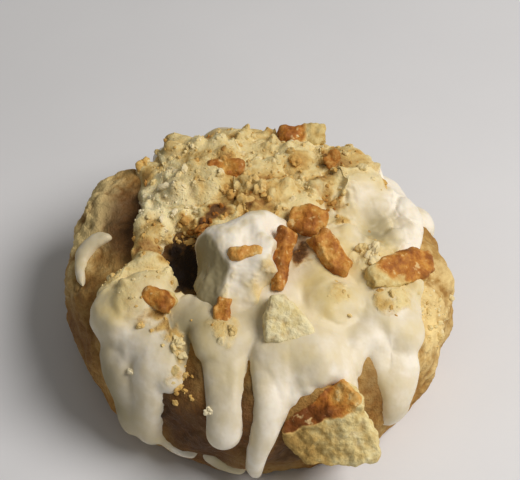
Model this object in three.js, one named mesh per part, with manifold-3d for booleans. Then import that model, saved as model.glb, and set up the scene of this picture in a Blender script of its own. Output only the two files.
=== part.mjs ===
// Banana pudding cookie: a thick domed cookie under poured icing that runs down its side in drips,
// with broken vanilla wafers and wafer crumbs on top.
// Millimetres, +Z up. The origin is the middle of the flat underside, and -Y is the front.
// A place on the cookie is an angle in degrees, anticlockwise from +X, and a path length in
// millimetres, measured over the surface from the middle of the top.
import * as THREE from "three";
import { mergeVertices } from "three/addons/utils/BufferGeometryUtils.js";
import Module from "manifold-3d";

const wasm = await Module();
wasm.setup();

// Driving dimensions of the dough
const WIDEST_RADIUS = 42.6;
const WIDEST_HEIGHT = 13;
const DOUGH_HEIGHT = 32.4;
const FOOT_RADIUS = 36.8;
const SHOULDER_POWER = 2.8;
const FOOT_POWER = 0.8;

// The plan isn't a true circle: [lobes round the edge, share of the radius, degrees of a lobe's peak]
const PLAN_LOBES = [
  [1, 0.014, 142],
  [2, 0.032, 141],
  [3, 0.012, 95],
  [5, 0.008, 40],
];

// Where the plan is dented: [degrees of the dent's middle, degrees to where it fades, share of the radius]
const PLAN_DENT = [320, 24, 0.05];

// Crags of the dough: [seed, waves, wavelength, height]. They fade out in the band above its foot.
const CRAGS = [
  [11, 9, 19, 0.5],
  [12, 12, 9.5, 0.42],
];
const CRAG_FADE = [1.5, 12];

// Swellings and hollows of the dough: [angle, path, radius, height]
const DOUGH_SWELLINGS = [
  [150, 40, 9, 3.0],
  [166, 42, 8, 2.4],
  [186, 44, 9, 0.6],
  [140, 38, 6, 1.5],
  [161, 31, 6, -1.6],
  [199, 18.4, 7.5, -3.4],
];

// Driving dimensions of the icing
const GAP = 0.3;
const ICING_THICKNESS = 2.3;
const ICING_BEAD = 1.5;
const DIP_UNDER = 2.4;
const BARE_BLEND = 2.0;
const ICING_LUMPS = [21, 9, 13, 0.22];

// How far the poured sheet reaches: [angle, path]
const SHEET_EDGE = [
  [0, 36], [20, 40], [40, 41], [60, 40], [80, 40], [100, 40], [120, 39], [129, 35.8], [138, 37], [146, 32],
  [160, 28.5], [178, 27.5], [190, 29], [199, 38], [206, 42.5], [213, 42.5], [219, 41.5], [225, 42], [231, 37],
  [238, 30], [248, 34], [258, 34], [265, 30], [271, 35], [276, 42], [280, 41.4], [284, 39.8], [288, 38.2],
  [292, 38.4], [297, 41.6], [300, 43], [303, 39.6], [307.5, 37.2], [311, 36.4], [316, 39.5], [323, 43],
  [328, 41], [334.5, 39.2], [341, 37.2], [350, 36.2],
];

// Thicker places in the sheet: [angle, path, radius, height]
const SHEET_SWELLINGS = [
  [210, 37, 8, 2.0],
  [20, 35, 5, 1.6],
  [31, 24.5, 6, 2.6],
  [45, 28, 5, 2.0],
  [6, 26, 3, -2.2],
  [15, 26.4, 2.6, -1.6],
  [322, 34, 7, 0.8],
];

// Drips, each a run of [angle, path, half width] that ends in a round tip
const DRIPS = [
  [[213, 36, 5.8], [222.5, 45, 4.4], [226, 52, 4.0], [228, 57, 3.4]],
  [[228, 34, 4.4], [233.4, 44, 3.6], [233.9, 52, 3.3], [234.2, 57.5, 3.1]],
  [[233, 33, 4.2], [238.4, 39.4, 3.1]],
  [[253.5, 28, 5.0], [258, 39, 4.0], [259.4, 46.4, 3.7]],
  [[274, 29, 4.6], [273.6, 38, 4.2], [271.2, 45, 3.0], [268.8, 51, 2.2], [267.6, 57, 1.7]],
  [[321, 32, 6.0], [317.4, 40, 5.4], [314.6, 47, 5.0], [313.6, 53, 4.6]],
  [[27, 32, 4.6], [26, 46, 3.8], [25, 53, 3.1]],
  [[57, 32, 5.0], [60, 49, 4.0], [61, 57, 3.2]],
  [[82, 34, 4.4], [82, 46, 3.3]],
  [[103, 32, 4.8], [104, 48, 3.8], [104, 54, 3.1]],
  [[124, 32, 4.6], [123, 43, 3.0]],
];
const DRIP_HEIGHT = 2.7;

// A stray curl of icing on the bare left shoulder
const CURL = [[172, 33.2, 0.8], [172.3, 35.8, 1.7], [175, 38.6, 1.9], [180, 40.2, 1.5], [189.5, 40, 0.7]];
const CURL_HEIGHT = 1.4;

// The bare place beside the mound, where the dough shows: [angle, path, half width] at its two ends
const BARE_PLACE = [[182, 17.4, 3.6], [213, 18.6, 4.4]];

// The mound in the middle: a large broken wafer that the icing has coated all over
const MOUND_AT = [-3.3, -6.4, 33.4];
const MOUND_HALF = [11.1, 11.2, 9.0];
const MOUND_POWER = 2.7;
const MOUND_LUMPS = [31, 8, 9, 0.3];

// Faces that flatten the mound: [x, y and z of the way a face looks, its distance from the middle]
const MOUND_FACES = [
  [-0.76, -0.44, 0.48, 8.7],
  [0.1, -0.82, 0.56, 8.7],
  [-0.12, -0.1, 0.98, 7.7],
  [0.9, -0.15, 0.4, 9.0],
  [-0.35, 0.8, 0.48, 8.6],
];
const MOUND_FLATNESS = 0.85;

// Where crumbs lie: thickest about this angle, thinning out between these paths
const CRUMB_ANGLE = 120;
const CRUMB_PATHS = [31, 42];
const CRUMB_LEAST = 0.07;
const CRUMB_POWER = 1.6;
const HEAP_HEIGHT = 2.8;

// Crumbs that are large enough to stand out, fused to the icing. They lie only where the cover of crumbs is
// at least the thinnest.
const CRUMB_SEED = 5;
const CRUMB_COUNT = 62;
const CRUMB_TRIES = 4000;
const CRUMB_REACH = 40;
const CRUMB_RADIUS = [1.0, 2.6];
const CRUMB_SQUASH = [0.7, 1.3];
const CRUMB_SPACING = 3.1;
const CRUMB_RISE = 0.15;
const CRUMB_SEAT = 0.8;
const CRUMB_THINNEST = 0.38;

// Broken wafers. The outline lies in the piece's own plane, and thick is measured behind it.
// place is the [angle, path] of the outline's middle, and lift is its height over the dough there.
// facing is the way the outline looks, and roll turns it about that way. cuts are planes in the piece's
// own frame that break it off further: [x, y and z of the way the break looks, its distance].
const WAFERS = [
  {
    name: "wafer_front", place: [288.6, 44.4], lift: 6.6, facing: [0.08, -0.78, 0.6], roll: 4, thick: 8.5,
    outline: [
      [-6, -7.3], [-9.9, -3.4], [-11.3, 0.6], [-8.9, 4.7], [-2.7, 8.4], [1.8, 9.9], [5.1, 7.4], [6.3, 2.6],
      [8.2, -1.6], [9.2, -6.6], [2, -7.8],
    ],
    cuts: [[-0.238, -0.044, 0.97, -0.5], [-0.425, 0.516, 0.743, 2.36]],
  },
  {
    name: "wafer_top", place: [356, 10.8], lift: 6.2, facing: [-0.05, -0.35, 0.93], roll: -6, thick: 5.2,
    outline: [[-4.4, -1.8], [-3.8, 2.8], [0.2, 3.8], [3.8, 2.6], [4.3, -1.4], [1.4, -3.4]],
  },
  {
    name: "wafer_slant", place: [340, 13.6], lift: 5.8, facing: [0.3, -0.3, 0.9], roll: -48, thick: 4.6,
    outline: [[-3.8, -1.6], [-3.4, 2.0], [1, 3.0], [6.4, 2.6], [7.4, -0.8], [3.5, -3.0]],
  },
  {
    name: "wafer_upright", place: [293.7, 12.5], lift: 6.6, facing: [0.75, -0.33, 0.575], roll: -91,
    thick: 3.4,
    outline: [[-7.2, -1.8], [-6.6, 2.0], [0, 2.1], [7.2, 1.1], [7.5, -0.9], [0, -1.9]],
  },
  {
    name: "wafer_right", place: [348, 32.5], lift: 5.2, facing: [0.45, -0.3, 0.84], roll: 24, thick: 5.0,
    outline: [[-8.6, -3.0], [-8.0, 1.6], [-3, 3.6], [4.5, 4.2], [8.4, 2.6], [8.2, -1.8], [1, -3.8]],
  },
  {
    name: "wafer_pale", place: [284, 27.0], lift: 5.2, facing: [0.05, -0.62, 0.78], roll: 0, thick: 5.4,
    outline: [[-4.8, -4.4], [-5.4, 0.4], [-3.8, 5.2], [-1.0, 5.2], [3.6, 1.0], [6.2, -3.4], [5.6, -4.8]],
  },
  {
    name: "wafer_back", place: [74, 30.5], lift: 6.2, facing: [0.1, -0.25, 0.95], roll: 5, thick: 4.6,
    outline: [[-5.4, -2.0], [-5, 2.0], [0.4, 2.8], [5.2, 2.2], [5.2, -2.2], [0, -2.8]],
  },
  {
    name: "wafer_rear", place: [120.5, 18.3], lift: 6.2, facing: [-0.1, -0.25, 0.96], roll: -8, thick: 4.4,
    outline: [[-4.3, -2.0], [-4.1, 1.3], [-0.8, 2.6], [4.0, 2.0], [4.4, -1.3], [0.8, -2.6]],
  },
  {
    name: "wafer_left", place: [214, 28.6], lift: 5.4, facing: [-0.3, -0.5, 0.8], roll: -34, thick: 4.2,
    outline: [[-3.5, -1.9], [-3.1, 1.8], [0.5, 2.4], [3.5, 1.5], [3.5, -1.6], [0, -2.4]],
  },
  {
    name: "wafer_middle", place: [249.5, 23.8], lift: 4.0, facing: [-0.05, -0.45, 0.9], roll: 80, thick: 3.2,
    outline: [[-3.0, -1.6], [-2.6, 1.8], [0.6, 2.2], [3.0, 1.2], [2.8, -1.8]],
  },
  {
    name: "wafer_on_mound", place: [236, 11.8], lift: 10.0, facing: [0.05, -0.3, 0.95], roll: 6, thick: 3.0,
    outline: [[-3.6, -1.2], [-3.4, 1.2], [0, 1.6], [3.6, 1.1], [3.4, -1.4]],
  },
];
const WAFER_BEVEL = 0.9;

// Fineness of the shapes
const PROFILE_STEPS = 160;
const DOUGH_DETAIL = 9;
const SHEET_DETAIL = 11;
const MOUND_DETAIL = 5;
const RUN_SIDES = 10;
const RUN_STEPS = 7;
const RUN_END_STEPS = 3;
const UNDERSIDE_WEIGHT = 0.12;
const LEAST_AREA = 1e-6;
const PATH_STEP = 0.05;
const ANGLE_STEP = 0.005;
const SHARE_STEP = 0.01;

const TAU = 2 * Math.PI;
const radians = (degrees) => (degrees * Math.PI) / 180;

// A repeatable stream of numbers from 0 to 1.
function stream(seed) {
  let state = seed >>> 0;
  return () => {
    state = (state + 0x6d2b79f5) >>> 0;
    let mixed = Math.imul(state ^ (state >>> 15), state | 1);
    mixed ^= mixed + Math.imul(mixed ^ (mixed >>> 7), mixed | 61);
    return ((mixed ^ (mixed >>> 14)) >>> 0) / 2 ** 32;
  };
}

// A field of rounded lumps: plane waves in drawn directions, added up and scaled to the height.
function lumpField([seed, count, wavelength, height]) {
  const draw = stream(seed);
  const set = Array.from({ length: count }, () => {
    const z = 2 * draw() - 1;
    const turn = TAU * draw();
    const pitch = (TAU / wavelength) * (0.75 + 0.5 * draw());
    const flat = Math.sqrt(1 - z * z);
    const way = new THREE.Vector3(flat * Math.cos(turn), flat * Math.sin(turn), z).multiplyScalar(pitch);
    return { way, phase: TAU * draw() };
  });
  const scale = height / Math.sqrt(count / 2);
  return (point) => scale * set.reduce((sum, { way, phase }) => sum + Math.sin(way.dot(point) + phase), 0);
}

// A field of rounded swellings about places on a surface: [angle, path, radius, height] each.
function swellingField(list, surface) {
  const places = list.map(([angle, path, radius, height]) => ({
    at: surface(radians(angle), path),
    radius,
    height,
  }));
  return (point) =>
    places.reduce(
      (sum, { at, radius, height }) => sum + height * Math.exp(-point.distanceToSquared(at) / radius ** 2),
      0,
    );
}

// The greater of two values, rounded where they meet.
function blendMax(a, b, width) {
  const near = Math.max(width - Math.abs(a - b), 0);
  return Math.max(a, b) + (near * near) / (4 * width);
}

// The value that a list of rising keys gives between its entries.
function between(list, key, wanted, x) {
  let low = 0;
  let high = list.length - 1;
  while (high - low > 1) {
    const middle = (low + high) >> 1;
    if (list[middle][key] <= x) low = middle;
    else high = middle;
  }
  const share = THREE.MathUtils.clamp((x - list[low][key]) / (list[high][key] - list[low][key]), 0, 1);
  return list[low][wanted] + share * (list[high][wanted] - list[low][wanted]);
}

// The dough's half section, from the middle of the top by its widest place and its foot to the middle
// of the underside. Each point has its path length s.
function makeProfile() {
  const points = [];
  for (let i = 0; i <= PROFILE_STEPS; i++) {
    const turn = (i / PROFILE_STEPS) * (Math.PI / 2);
    const rise = Math.max(Math.cos(turn), 0) ** (2 / SHOULDER_POWER);
    points.push({
      r: WIDEST_RADIUS * Math.sin(turn) ** (2 / SHOULDER_POWER),
      z: WIDEST_HEIGHT + (DOUGH_HEIGHT - WIDEST_HEIGHT) * rise,
    });
  }
  for (let i = 1; i <= PROFILE_STEPS; i++) {
    const turn = (i / PROFILE_STEPS) * (Math.PI / 2);
    points.push({
      r: FOOT_RADIUS + (WIDEST_RADIUS - FOOT_RADIUS) * Math.max(Math.cos(turn), 0) ** FOOT_POWER,
      z: WIDEST_HEIGHT * (1 - Math.sin(turn)),
    });
  }
  for (let i = 1; i <= PROFILE_STEPS; i++) points.push({ r: FOOT_RADIUS * (1 - i / PROFILE_STEPS), z: 0 });
  points.forEach((point, i) => {
    const before = points[i - 1] ?? { r: 0, z: point.z, s: 0 };
    point.s = before.s + Math.hypot(point.r - before.r, point.z - before.z);
  });
  return points;
}

const PROFILE = makeProfile();
const FOOT_PATH = PROFILE[2 * PROFILE_STEPS].s;

// The plan's radius at an angle, as a share of a true circle's.
function planFactor(theta) {
  const [middle, fade, depth] = PLAN_DENT;
  const away = THREE.MathUtils.euclideanModulo(THREE.MathUtils.radToDeg(theta) - middle + 180, 360) - 180;
  const lobes = PLAN_LOBES.map(([n, share, peak]) => share * Math.cos(n * (theta - radians(peak))));
  return lobes.reduce((sum, lobe) => sum + lobe, 1 - depth * Math.exp(-((away / fade) ** 2)));
}

// The smooth form of the dough, before its crags.
function smoothPoint(theta, path) {
  const r = between(PROFILE, "s", "r", path) * planFactor(theta);
  return new THREE.Vector3(r * Math.cos(theta), r * Math.sin(theta), between(PROFILE, "s", "z", path));
}

// The outward direction of a surface that is given by angle and path.
function normalOf(surface, theta, path) {
  const s = Math.max(path, 2 * PATH_STEP);
  const along = surface(theta, s + PATH_STEP).sub(surface(theta, s - PATH_STEP));
  const round = surface(theta + ANGLE_STEP, s).sub(surface(theta - ANGLE_STEP, s));
  return along.cross(round).normalize();
}

const cragFields = CRAGS.map(lumpField);
const doughSwellings = swellingField(DOUGH_SWELLINGS, smoothPoint);

// The dough's surface. Its crags and swellings end above the flat underside.
function doughPoint(theta, path) {
  const point = smoothPoint(theta, path);
  if (path >= FOOT_PATH) return point;
  const crags = cragFields.reduce((sum, field) => sum + field(point), doughSwellings(point));
  const fade = THREE.MathUtils.smoothstep(FOOT_PATH - path, ...CRAG_FADE);
  return point.addScaledVector(normalOf(smoothPoint, theta, path), crags * fade);
}

function grownPoint(theta, path, growth) {
  return doughPoint(theta, path).addScaledVector(normalOf(doughPoint, theta, path), growth);
}

// The surface area from the middle of the top to each profile point. The underside counts for little.
const AREA = [{ s: 0, area: 0 }];
for (const { s, r } of PROFILE.slice(1)) {
  const before = AREA[AREA.length - 1];
  const weight = s > FOOT_PATH ? UNDERSIDE_WEIGHT : 1;
  AREA.push({ s, area: before.area + weight * r * (s - before.s) + LEAST_AREA });
}

// The path for a height on a unit sphere, so that the sphere's triangles spread evenly over the dough.
function pathOnSphere(height) {
  return between(AREA, "area", "s", (AREA[AREA.length - 1].area * (1 - height)) / 2);
}

// A closed geometry with each corner merged, ready for joining and cutting.
function closed(geometry) {
  geometry.deleteAttribute("normal");
  geometry.deleteAttribute("uv");
  return mergeVertices(geometry);
}

// A geometry with each corner moved to where the rule puts it.
function reshaped(geometry, rule) {
  const position = geometry.attributes.position;
  for (let i = 0; i < position.count; i++) {
    const moved = rule(position.getX(i), position.getY(i), position.getZ(i));
    position.setXYZ(i, moved.x, moved.y, moved.z);
  }
  return geometry;
}

function solidOf(geometry) {
  return new wasm.Manifold(
    new wasm.Mesh({
      numProp: 3,
      vertProperties: new Float32Array(geometry.attributes.position.array),
      triVerts: new Uint32Array(geometry.index.array),
    }),
  );
}

function geometryOf(solid) {
  const { vertProperties, triVerts } = solid.getMesh();
  const geometry = new THREE.BufferGeometry();
  geometry.setAttribute("position", new THREE.BufferAttribute(new Float32Array(vertProperties), 3));
  geometry.setIndex(new THREE.BufferAttribute(new Uint32Array(triVerts), 1));
  geometry.computeVertexNormals();
  return geometry;
}

// A solid from a sphere of even triangles. The rule takes an angle and a height on the unit sphere.
function wrappedSolid(detail, rule) {
  const sphere = closed(new THREE.IcosahedronGeometry(1, detail));
  return solidOf(reshaped(sphere, (x, y, z) => rule(Math.atan2(y, x), THREE.MathUtils.clamp(z, -1, 1))));
}

// The body of greatest volume, without the loose scraps that a cut leaves.
function largestBody(solid) {
  return solid.decompose().reduce((best, body) => (body.volume() > best.volume() ? body : best));
}

// The sheet's reach at an angle, eased between the listed angles.
function sheetEdge(theta) {
  const angle = THREE.MathUtils.euclideanModulo(THREE.MathUtils.radToDeg(theta), 360);
  const ring = [...SHEET_EDGE, [360, SHEET_EDGE[0][1]]];
  const next = ring.findIndex(([listed]) => listed > angle);
  const [lowAngle, low] = ring[next - 1];
  const [highAngle, high] = ring[next];
  return low + (high - low) * THREE.MathUtils.smoothstep(angle, lowAngle, highAngle);
}

const bareLine = new THREE.Line3(...BARE_PLACE.map(([angle, path]) => doughPoint(radians(angle), path)));

// How deep a point lies inside the bare place: its half width there, less the way from its middle line.
function depthInBarePlace(point) {
  const share = bareLine.closestPointToPointParameter(point, true);
  const half = THREE.MathUtils.lerp(BARE_PLACE[0][2], BARE_PLACE[1][2], share);
  return half - bareLine.at(share, new THREE.Vector3()).distanceTo(point);
}

// How thickly crumbs lie at a place, from 0 to 1: most on the back of the top, least at the front.
function crumbCover(theta, path) {
  const towards = 0.5 + 0.5 * Math.cos(theta - radians(CRUMB_ANGLE));
  const onTop = 1 - THREE.MathUtils.smoothstep(path, ...CRUMB_PATHS);
  return onTop * THREE.MathUtils.lerp(CRUMB_LEAST, 1, towards ** CRUMB_POWER);
}

const icingLumps = lumpField(ICING_LUMPS);
const sheetSwellings = swellingField(SHEET_SWELLINGS, doughPoint);

// The sheet's height over the dough. It rounds off at its edge and goes under the dough outside it.
function sheetHeight(theta, path, point) {
  const depth = -blendMax(path - sheetEdge(theta), depthInBarePlace(point), BARE_BLEND);
  const heap = HEAP_HEIGHT * crumbCover(theta, path);
  const thickness = ICING_THICKNESS + heap + icingLumps(point) + sheetSwellings(point);
  if (depth < 0) return Math.max((thickness * depth) / ICING_BEAD, -DIP_UNDER);
  return thickness * (1 - Math.exp(-depth / ICING_BEAD));
}

// A round-ended bar that follows a run over the dough, as wide as the run says. It bends a capsule, whose
// length lies along its y.
function runSolid(run, height) {
  const line = new THREE.SplineCurve(run.map(([angle, path]) => new THREE.Vector2(radians(angle), path)));
  const widths = new THREE.SplineCurve(run.map(([, , half], i) => new THREE.Vector2(i, half)));
  const length = line.getLength();
  const capsule = new THREE.CapsuleGeometry(1, length, RUN_END_STEPS, RUN_SIDES, RUN_STEPS);
  const onDough = (share) => {
    const { x: theta, y: path } = line.getPoint(THREE.MathUtils.clamp(share, 0, 1));
    return { at: doughPoint(theta, path), up: normalOf(doughPoint, theta, path) };
  };
  return solidOf(
    reshaped(closed(capsule), (x, y, z) => {
      const share = THREE.MathUtils.clamp(y / length + 0.5, 0, 1);
      const beyond = y - (share - 0.5) * length;
      const half = widths.getPoint(share).y;
      const { at, up } = onDough(share);
      const along = onDough(share + SHARE_STEP).at.sub(onDough(share - SHARE_STEP).at).normalize();
      const side = new THREE.Vector3().crossVectors(along, up);
      return at
        .addScaledVector(side, half * x)
        .addScaledVector(up, height * z)
        .addScaledVector(along, half * beyond);
    }),
  );
}

// The mound, grown by a margin: an uneven rounded block, flattened by its faces.
function moundSolid(margin) {
  const lumps = lumpField(MOUND_LUMPS);
  const rounded = (value) => Math.sign(value) * Math.abs(value) ** (2 / MOUND_POWER);
  const [wide, deep, tall] = MOUND_HALF;
  return wrappedSolid(MOUND_DETAIL, (theta, height) => {
    const flat = rounded(Math.sqrt(1 - height * height));
    const block = new THREE.Vector3(
      wide * flat * rounded(Math.cos(theta)),
      deep * flat * rounded(Math.sin(theta)),
      tall * rounded(height),
    );
    block.setLength(block.length() + lumps(block) + margin);
    for (const [x, y, z, distance] of MOUND_FACES) {
      const face = new THREE.Vector3(x, y, z).normalize();
      const over = Math.max(block.dot(face) - distance - margin, 0);
      block.addScaledVector(face, -MOUND_FLATNESS * over);
    }
    return block.add(new THREE.Vector3(...MOUND_AT));
  });
}

// Crumbs as small uneven stones, partly sunk in the icing.
function crumbSolids() {
  const draw = stream(CRUMB_SEED);
  const within = ([low, high], share) => THREE.MathUtils.lerp(low, high, share);
  const placed = [];
  for (let tries = 0; tries < CRUMB_TRIES && placed.length < CRUMB_COUNT; tries++) {
    const theta = TAU * draw();
    const path = CRUMB_REACH * Math.sqrt(draw());
    const size = within(CRUMB_RADIUS, draw() ** 2);
    const squash = [draw(), draw(), draw()].map((share) => within(CRUMB_SQUASH, share));
    const turn = [draw(), draw(), draw()].map((share) => TAU * share);
    const cover = crumbCover(theta, path);
    if (draw() > cover || cover < CRUMB_THINNEST) continue;
    const height = sheetHeight(theta, path, doughPoint(theta, path));
    if (height < CRUMB_SEAT * ICING_THICKNESS) continue;
    const at = grownPoint(theta, path, height + CRUMB_RISE * size);
    if (placed.some((other) => other.at.distanceTo(at) < CRUMB_SPACING)) continue;
    placed.push({ at, size, squash, turn });
  }
  return placed.map(({ at, size, squash, turn }) => {
    const stone = closed(new THREE.IcosahedronGeometry(size, 0));
    const turned = new THREE.Quaternion().setFromEuler(new THREE.Euler(...turn));
    stone.applyMatrix4(new THREE.Matrix4().compose(at, turned, new THREE.Vector3(...squash)));
    return solidOf(stone);
  });
}

// A broken wafer in its place, grown by a margin.
function waferSolid({ place, lift, facing, roll, thick, outline, cuts = [] }, margin) {
  const forward = new THREE.Vector3(0, 0, 1);
  const shape = new THREE.Shape(outline.map(([x, y]) => new THREE.Vector2(x, y)));
  const geometry = new THREE.ExtrudeGeometry(shape, {
    depth: thick - 2 * WAFER_BEVEL,
    steps: 2,
    bevelThickness: WAFER_BEVEL + margin,
    bevelSize: WAFER_BEVEL + margin,
    bevelOffset: -WAFER_BEVEL,
    bevelSegments: 2,
  });
  geometry.translate(0, 0, WAFER_BEVEL - thick);
  const turned = new THREE.Quaternion()
    .setFromUnitVectors(forward, new THREE.Vector3(...facing).normalize())
    .multiply(new THREE.Quaternion().setFromAxisAngle(forward, radians(roll)));
  const at = grownPoint(radians(place[0]), place[1], lift);
  geometry.applyQuaternion(turned).translate(at.x, at.y, at.z);
  return cuts.reduce((solid, [x, y, z, distance]) => {
    const inward = new THREE.Vector3(-x, -y, -z).normalize().applyQuaternion(turned);
    return solid.trimByPlane(inward.toArray(), inward.dot(at) - distance - margin);
  }, solidOf(closed(geometry)));
}

// The dough, and the same with the gap that its neighbours keep
const dough = wrappedSolid(DOUGH_DETAIL, (theta, height) => doughPoint(theta, pathOnSphere(height)));
const doughRoom = wrappedSolid(DOUGH_DETAIL, (theta, height) => {
  const path = pathOnSphere(height);
  return path < FOOT_PATH ? grownPoint(theta, path, GAP) : doughPoint(theta, path).setZ(-GAP);
});

// Each wafer leaves room for the dough and for the wafers before it.
const wafers = [];
for (const wafer of WAFERS) {
  const clear = wafers.reduce((solid, { room }) => solid.subtract(room), waferSolid(wafer, 0));
  wafers.push({
    name: wafer.name,
    solid: largestBody(clear.subtract(doughRoom)),
    room: waferSolid(wafer, GAP),
  });
}
const clearOfWafers = (start) => wafers.reduce((solid, { room }) => solid.subtract(room), start);

const mound = largestBody(clearOfWafers(moundSolid(0).subtract(doughRoom)));

// The sheet with its drips and crumbs, cut back from everything that it lies against
const sheet = wrappedSolid(SHEET_DETAIL, (theta, height) => {
  const path = Math.min(pathOnSphere(height), FOOT_PATH - PATH_STEP);
  return grownPoint(theta, path, sheetHeight(theta, path, doughPoint(theta, path)));
});
const drips = DRIPS.map((run) => runSolid(run, DRIP_HEIGHT));
const poured = [...drips, ...crumbSolids()].reduce((solid, piece) => solid.add(piece), sheet);
const icing = largestBody(clearOfWafers(poured.subtract(doughRoom).subtract(moundSolid(GAP))));

const curl = largestBody(runSolid(CURL, CURL_HEIGHT).subtract(doughRoom));

const DOUGH_LOOK = { color: 0xb98a4c, roughness: 0.8, metalness: 0 };
const ICING_LOOK = { color: 0xe9dfc2, roughness: 0.45, metalness: 0 };
const WAFER_LOOK = { color: 0xcf9a52, roughness: 0.75, metalness: 0 };

function addMesh(group, name, solid, look) {
  const mesh = new THREE.Mesh(geometryOf(solid), new THREE.MeshStandardMaterial(look));
  mesh.name = name;
  group.add(mesh);
}

const cookie = new THREE.Group();
addMesh(cookie, "dough", dough, DOUGH_LOOK);
addMesh(cookie, "icing", icing, ICING_LOOK);
addMesh(cookie, "icing_curl", curl, ICING_LOOK);
addMesh(cookie, "coated_wafer", mound, ICING_LOOK);
for (const { name, solid } of wafers) addMesh(cookie, name, solid, WAFER_LOOK);

export default cookie;
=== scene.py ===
# Looks of the banana pudding cookie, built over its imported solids.
# Forms are worked out in millimetres in the solids' own frame, and made in metres.
# A place on the cookie is an angle in degrees, anticlockwise from +X, and a path length in
# millimetres, measured over the surface from the middle of the top. Tables of places have rows of
# (angle, path, radius, amount), where their comment says nothing else.
import math
from types import SimpleNamespace

import bmesh
import bpy
import numpy as np
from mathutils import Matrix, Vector, kdtree, noise


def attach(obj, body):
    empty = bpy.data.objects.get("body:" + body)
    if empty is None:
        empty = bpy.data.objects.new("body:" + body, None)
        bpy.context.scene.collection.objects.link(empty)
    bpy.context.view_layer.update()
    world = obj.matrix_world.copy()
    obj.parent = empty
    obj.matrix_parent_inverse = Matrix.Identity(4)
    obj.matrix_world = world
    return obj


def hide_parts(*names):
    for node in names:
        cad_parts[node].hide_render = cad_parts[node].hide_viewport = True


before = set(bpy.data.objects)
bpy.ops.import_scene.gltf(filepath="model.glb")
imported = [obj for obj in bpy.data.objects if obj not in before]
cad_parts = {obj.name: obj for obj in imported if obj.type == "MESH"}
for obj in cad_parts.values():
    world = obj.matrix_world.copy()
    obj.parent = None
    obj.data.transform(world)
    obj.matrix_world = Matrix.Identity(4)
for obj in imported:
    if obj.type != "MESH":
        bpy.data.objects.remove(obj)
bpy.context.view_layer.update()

MM = 0.001
TAU = 2 * math.pi
WORD = 0xFFFFFFFF
STREAM_STEP = 0x6D2B79F5

# Dimensions of the dough, as in its solid
WIDEST_RADIUS = 42.6
WIDEST_HEIGHT = 13
DOUGH_HEIGHT = 32.4
FOOT_RADIUS = 36.8
SHOULDER_POWER = 2.8
FOOT_POWER = 0.8

# The plan isn't a true circle: (lobes round the edge, share of the radius, degrees of a lobe's peak)
PLAN_LOBES = [(1, 0.014, 142), (2, 0.032, 141), (3, 0.012, 95), (5, 0.008, 40)]

# Where the plan is dented: (degrees of the dent's middle, degrees to where it fades, share of the radius)
PLAN_DENT = (320, 24, 0.05)

# Crags of the dough: (seed, waves, wavelength, height). They fade out in the band above its foot. The waves
# of such a field have this least pitch, as a share of the usual one, and this spread.
CRAGS = [(11, 9, 19, 0.5), (12, 12, 9.5, 0.42)]
CRAG_FADE = (1.5, 12)
LEAST_PITCH = 0.75
PITCH_SPREAD = 0.5

# Swellings and hollows of the dough
DOUGH_SWELLINGS = [
    (150, 40, 9, 3.0), (166, 42, 8, 2.4), (186, 44, 9, 0.6), (140, 38, 6, 1.5), (161, 31, 6, -1.6),
    (199, 18.4, 7.5, -3.4),
]

# Dimensions of the icing, as in its solid
ICING_THICKNESS = 2.3
ICING_BEAD = 1.5
DIP_UNDER = 2.4
BARE_BLEND = 2.0
ICING_LUMPS = (21, 9, 13, 0.22)

# How far the poured sheet reaches: (angle, path)
SHEET_EDGE = [
    (0, 36), (20, 40), (40, 41), (60, 40), (80, 40), (100, 40), (120, 39), (129, 35.8), (138, 37), (146, 32),
    (160, 28.5), (178, 27.5), (190, 29), (199, 38), (206, 42.5), (213, 42.5), (219, 41.5), (225, 42),
    (231, 37), (238, 30), (248, 34), (258, 34), (265, 30), (271, 35), (276, 42), (280, 41.4), (284, 39.8),
    (288, 38.2), (292, 38.4), (297, 41.6), (300, 43), (303, 39.6), (307.5, 37.2), (311, 36.4), (316, 39.5),
    (323, 43), (328, 41), (334.5, 39.2), (341, 37.2), (350, 36.2),
]

# Thicker and thinner places in the sheet
SHEET_SWELLINGS = [
    (210, 37, 8, 2.0), (20, 35, 5, 1.6), (31, 24.5, 6, 2.6), (45, 28, 5, 2.0), (6, 26, 3, -2.2),
    (15, 26.4, 2.6, -1.6), (322, 34, 7, 0.8),
]

# Drips, each a run of (angle, path, half width) that ends in a round tip
DRIPS = [
    [(213, 36, 5.8), (222.5, 45, 4.4), (226, 52, 4.0), (228, 57, 3.4)],
    [(228, 34, 4.4), (233.4, 44, 3.6), (233.9, 52, 3.3), (234.2, 57.5, 3.1)],
    [(233, 33, 4.2), (238.4, 39.4, 3.1)],
    [(253.5, 28, 5.0), (258, 39, 4.0), (259.4, 46.4, 3.7)],
    [(274, 29, 4.6), (273.6, 38, 4.2), (271.2, 45, 3.0), (268.8, 51, 2.2), (267.6, 57, 1.7)],
    [(321, 32, 6.0), (317.4, 40, 5.4), (314.6, 47, 5.0), (313.6, 53, 4.6)],
    [(27, 32, 4.6), (26, 46, 3.8), (25, 53, 3.1)],
    [(57, 32, 5.0), (60, 49, 4.0), (61, 57, 3.2)],
    [(82, 34, 4.4), (82, 46, 3.3)],
    [(103, 32, 4.8), (104, 48, 3.8), (104, 54, 3.1)],
    [(124, 32, 4.6), (123, 43, 3.0)],
]
DRIP_HEIGHT = 2.7
DRIP_BLEND = 1.2
DRIP_SLOPE = 2.0

# Thin smears of icing at the foot of the dough, as runs like the drips
SMEARS = [
    [(229, 57.5, 1.8), (236, 58.2, 1.6), (244, 58.6, 1.2), (249, 58.6, 0.7)],
    [(254, 59.5, 1.6), (258, 60.4, 2.2), (263, 60.6, 1.6)],
]
SMEAR_HEIGHT = 1.0

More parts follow.
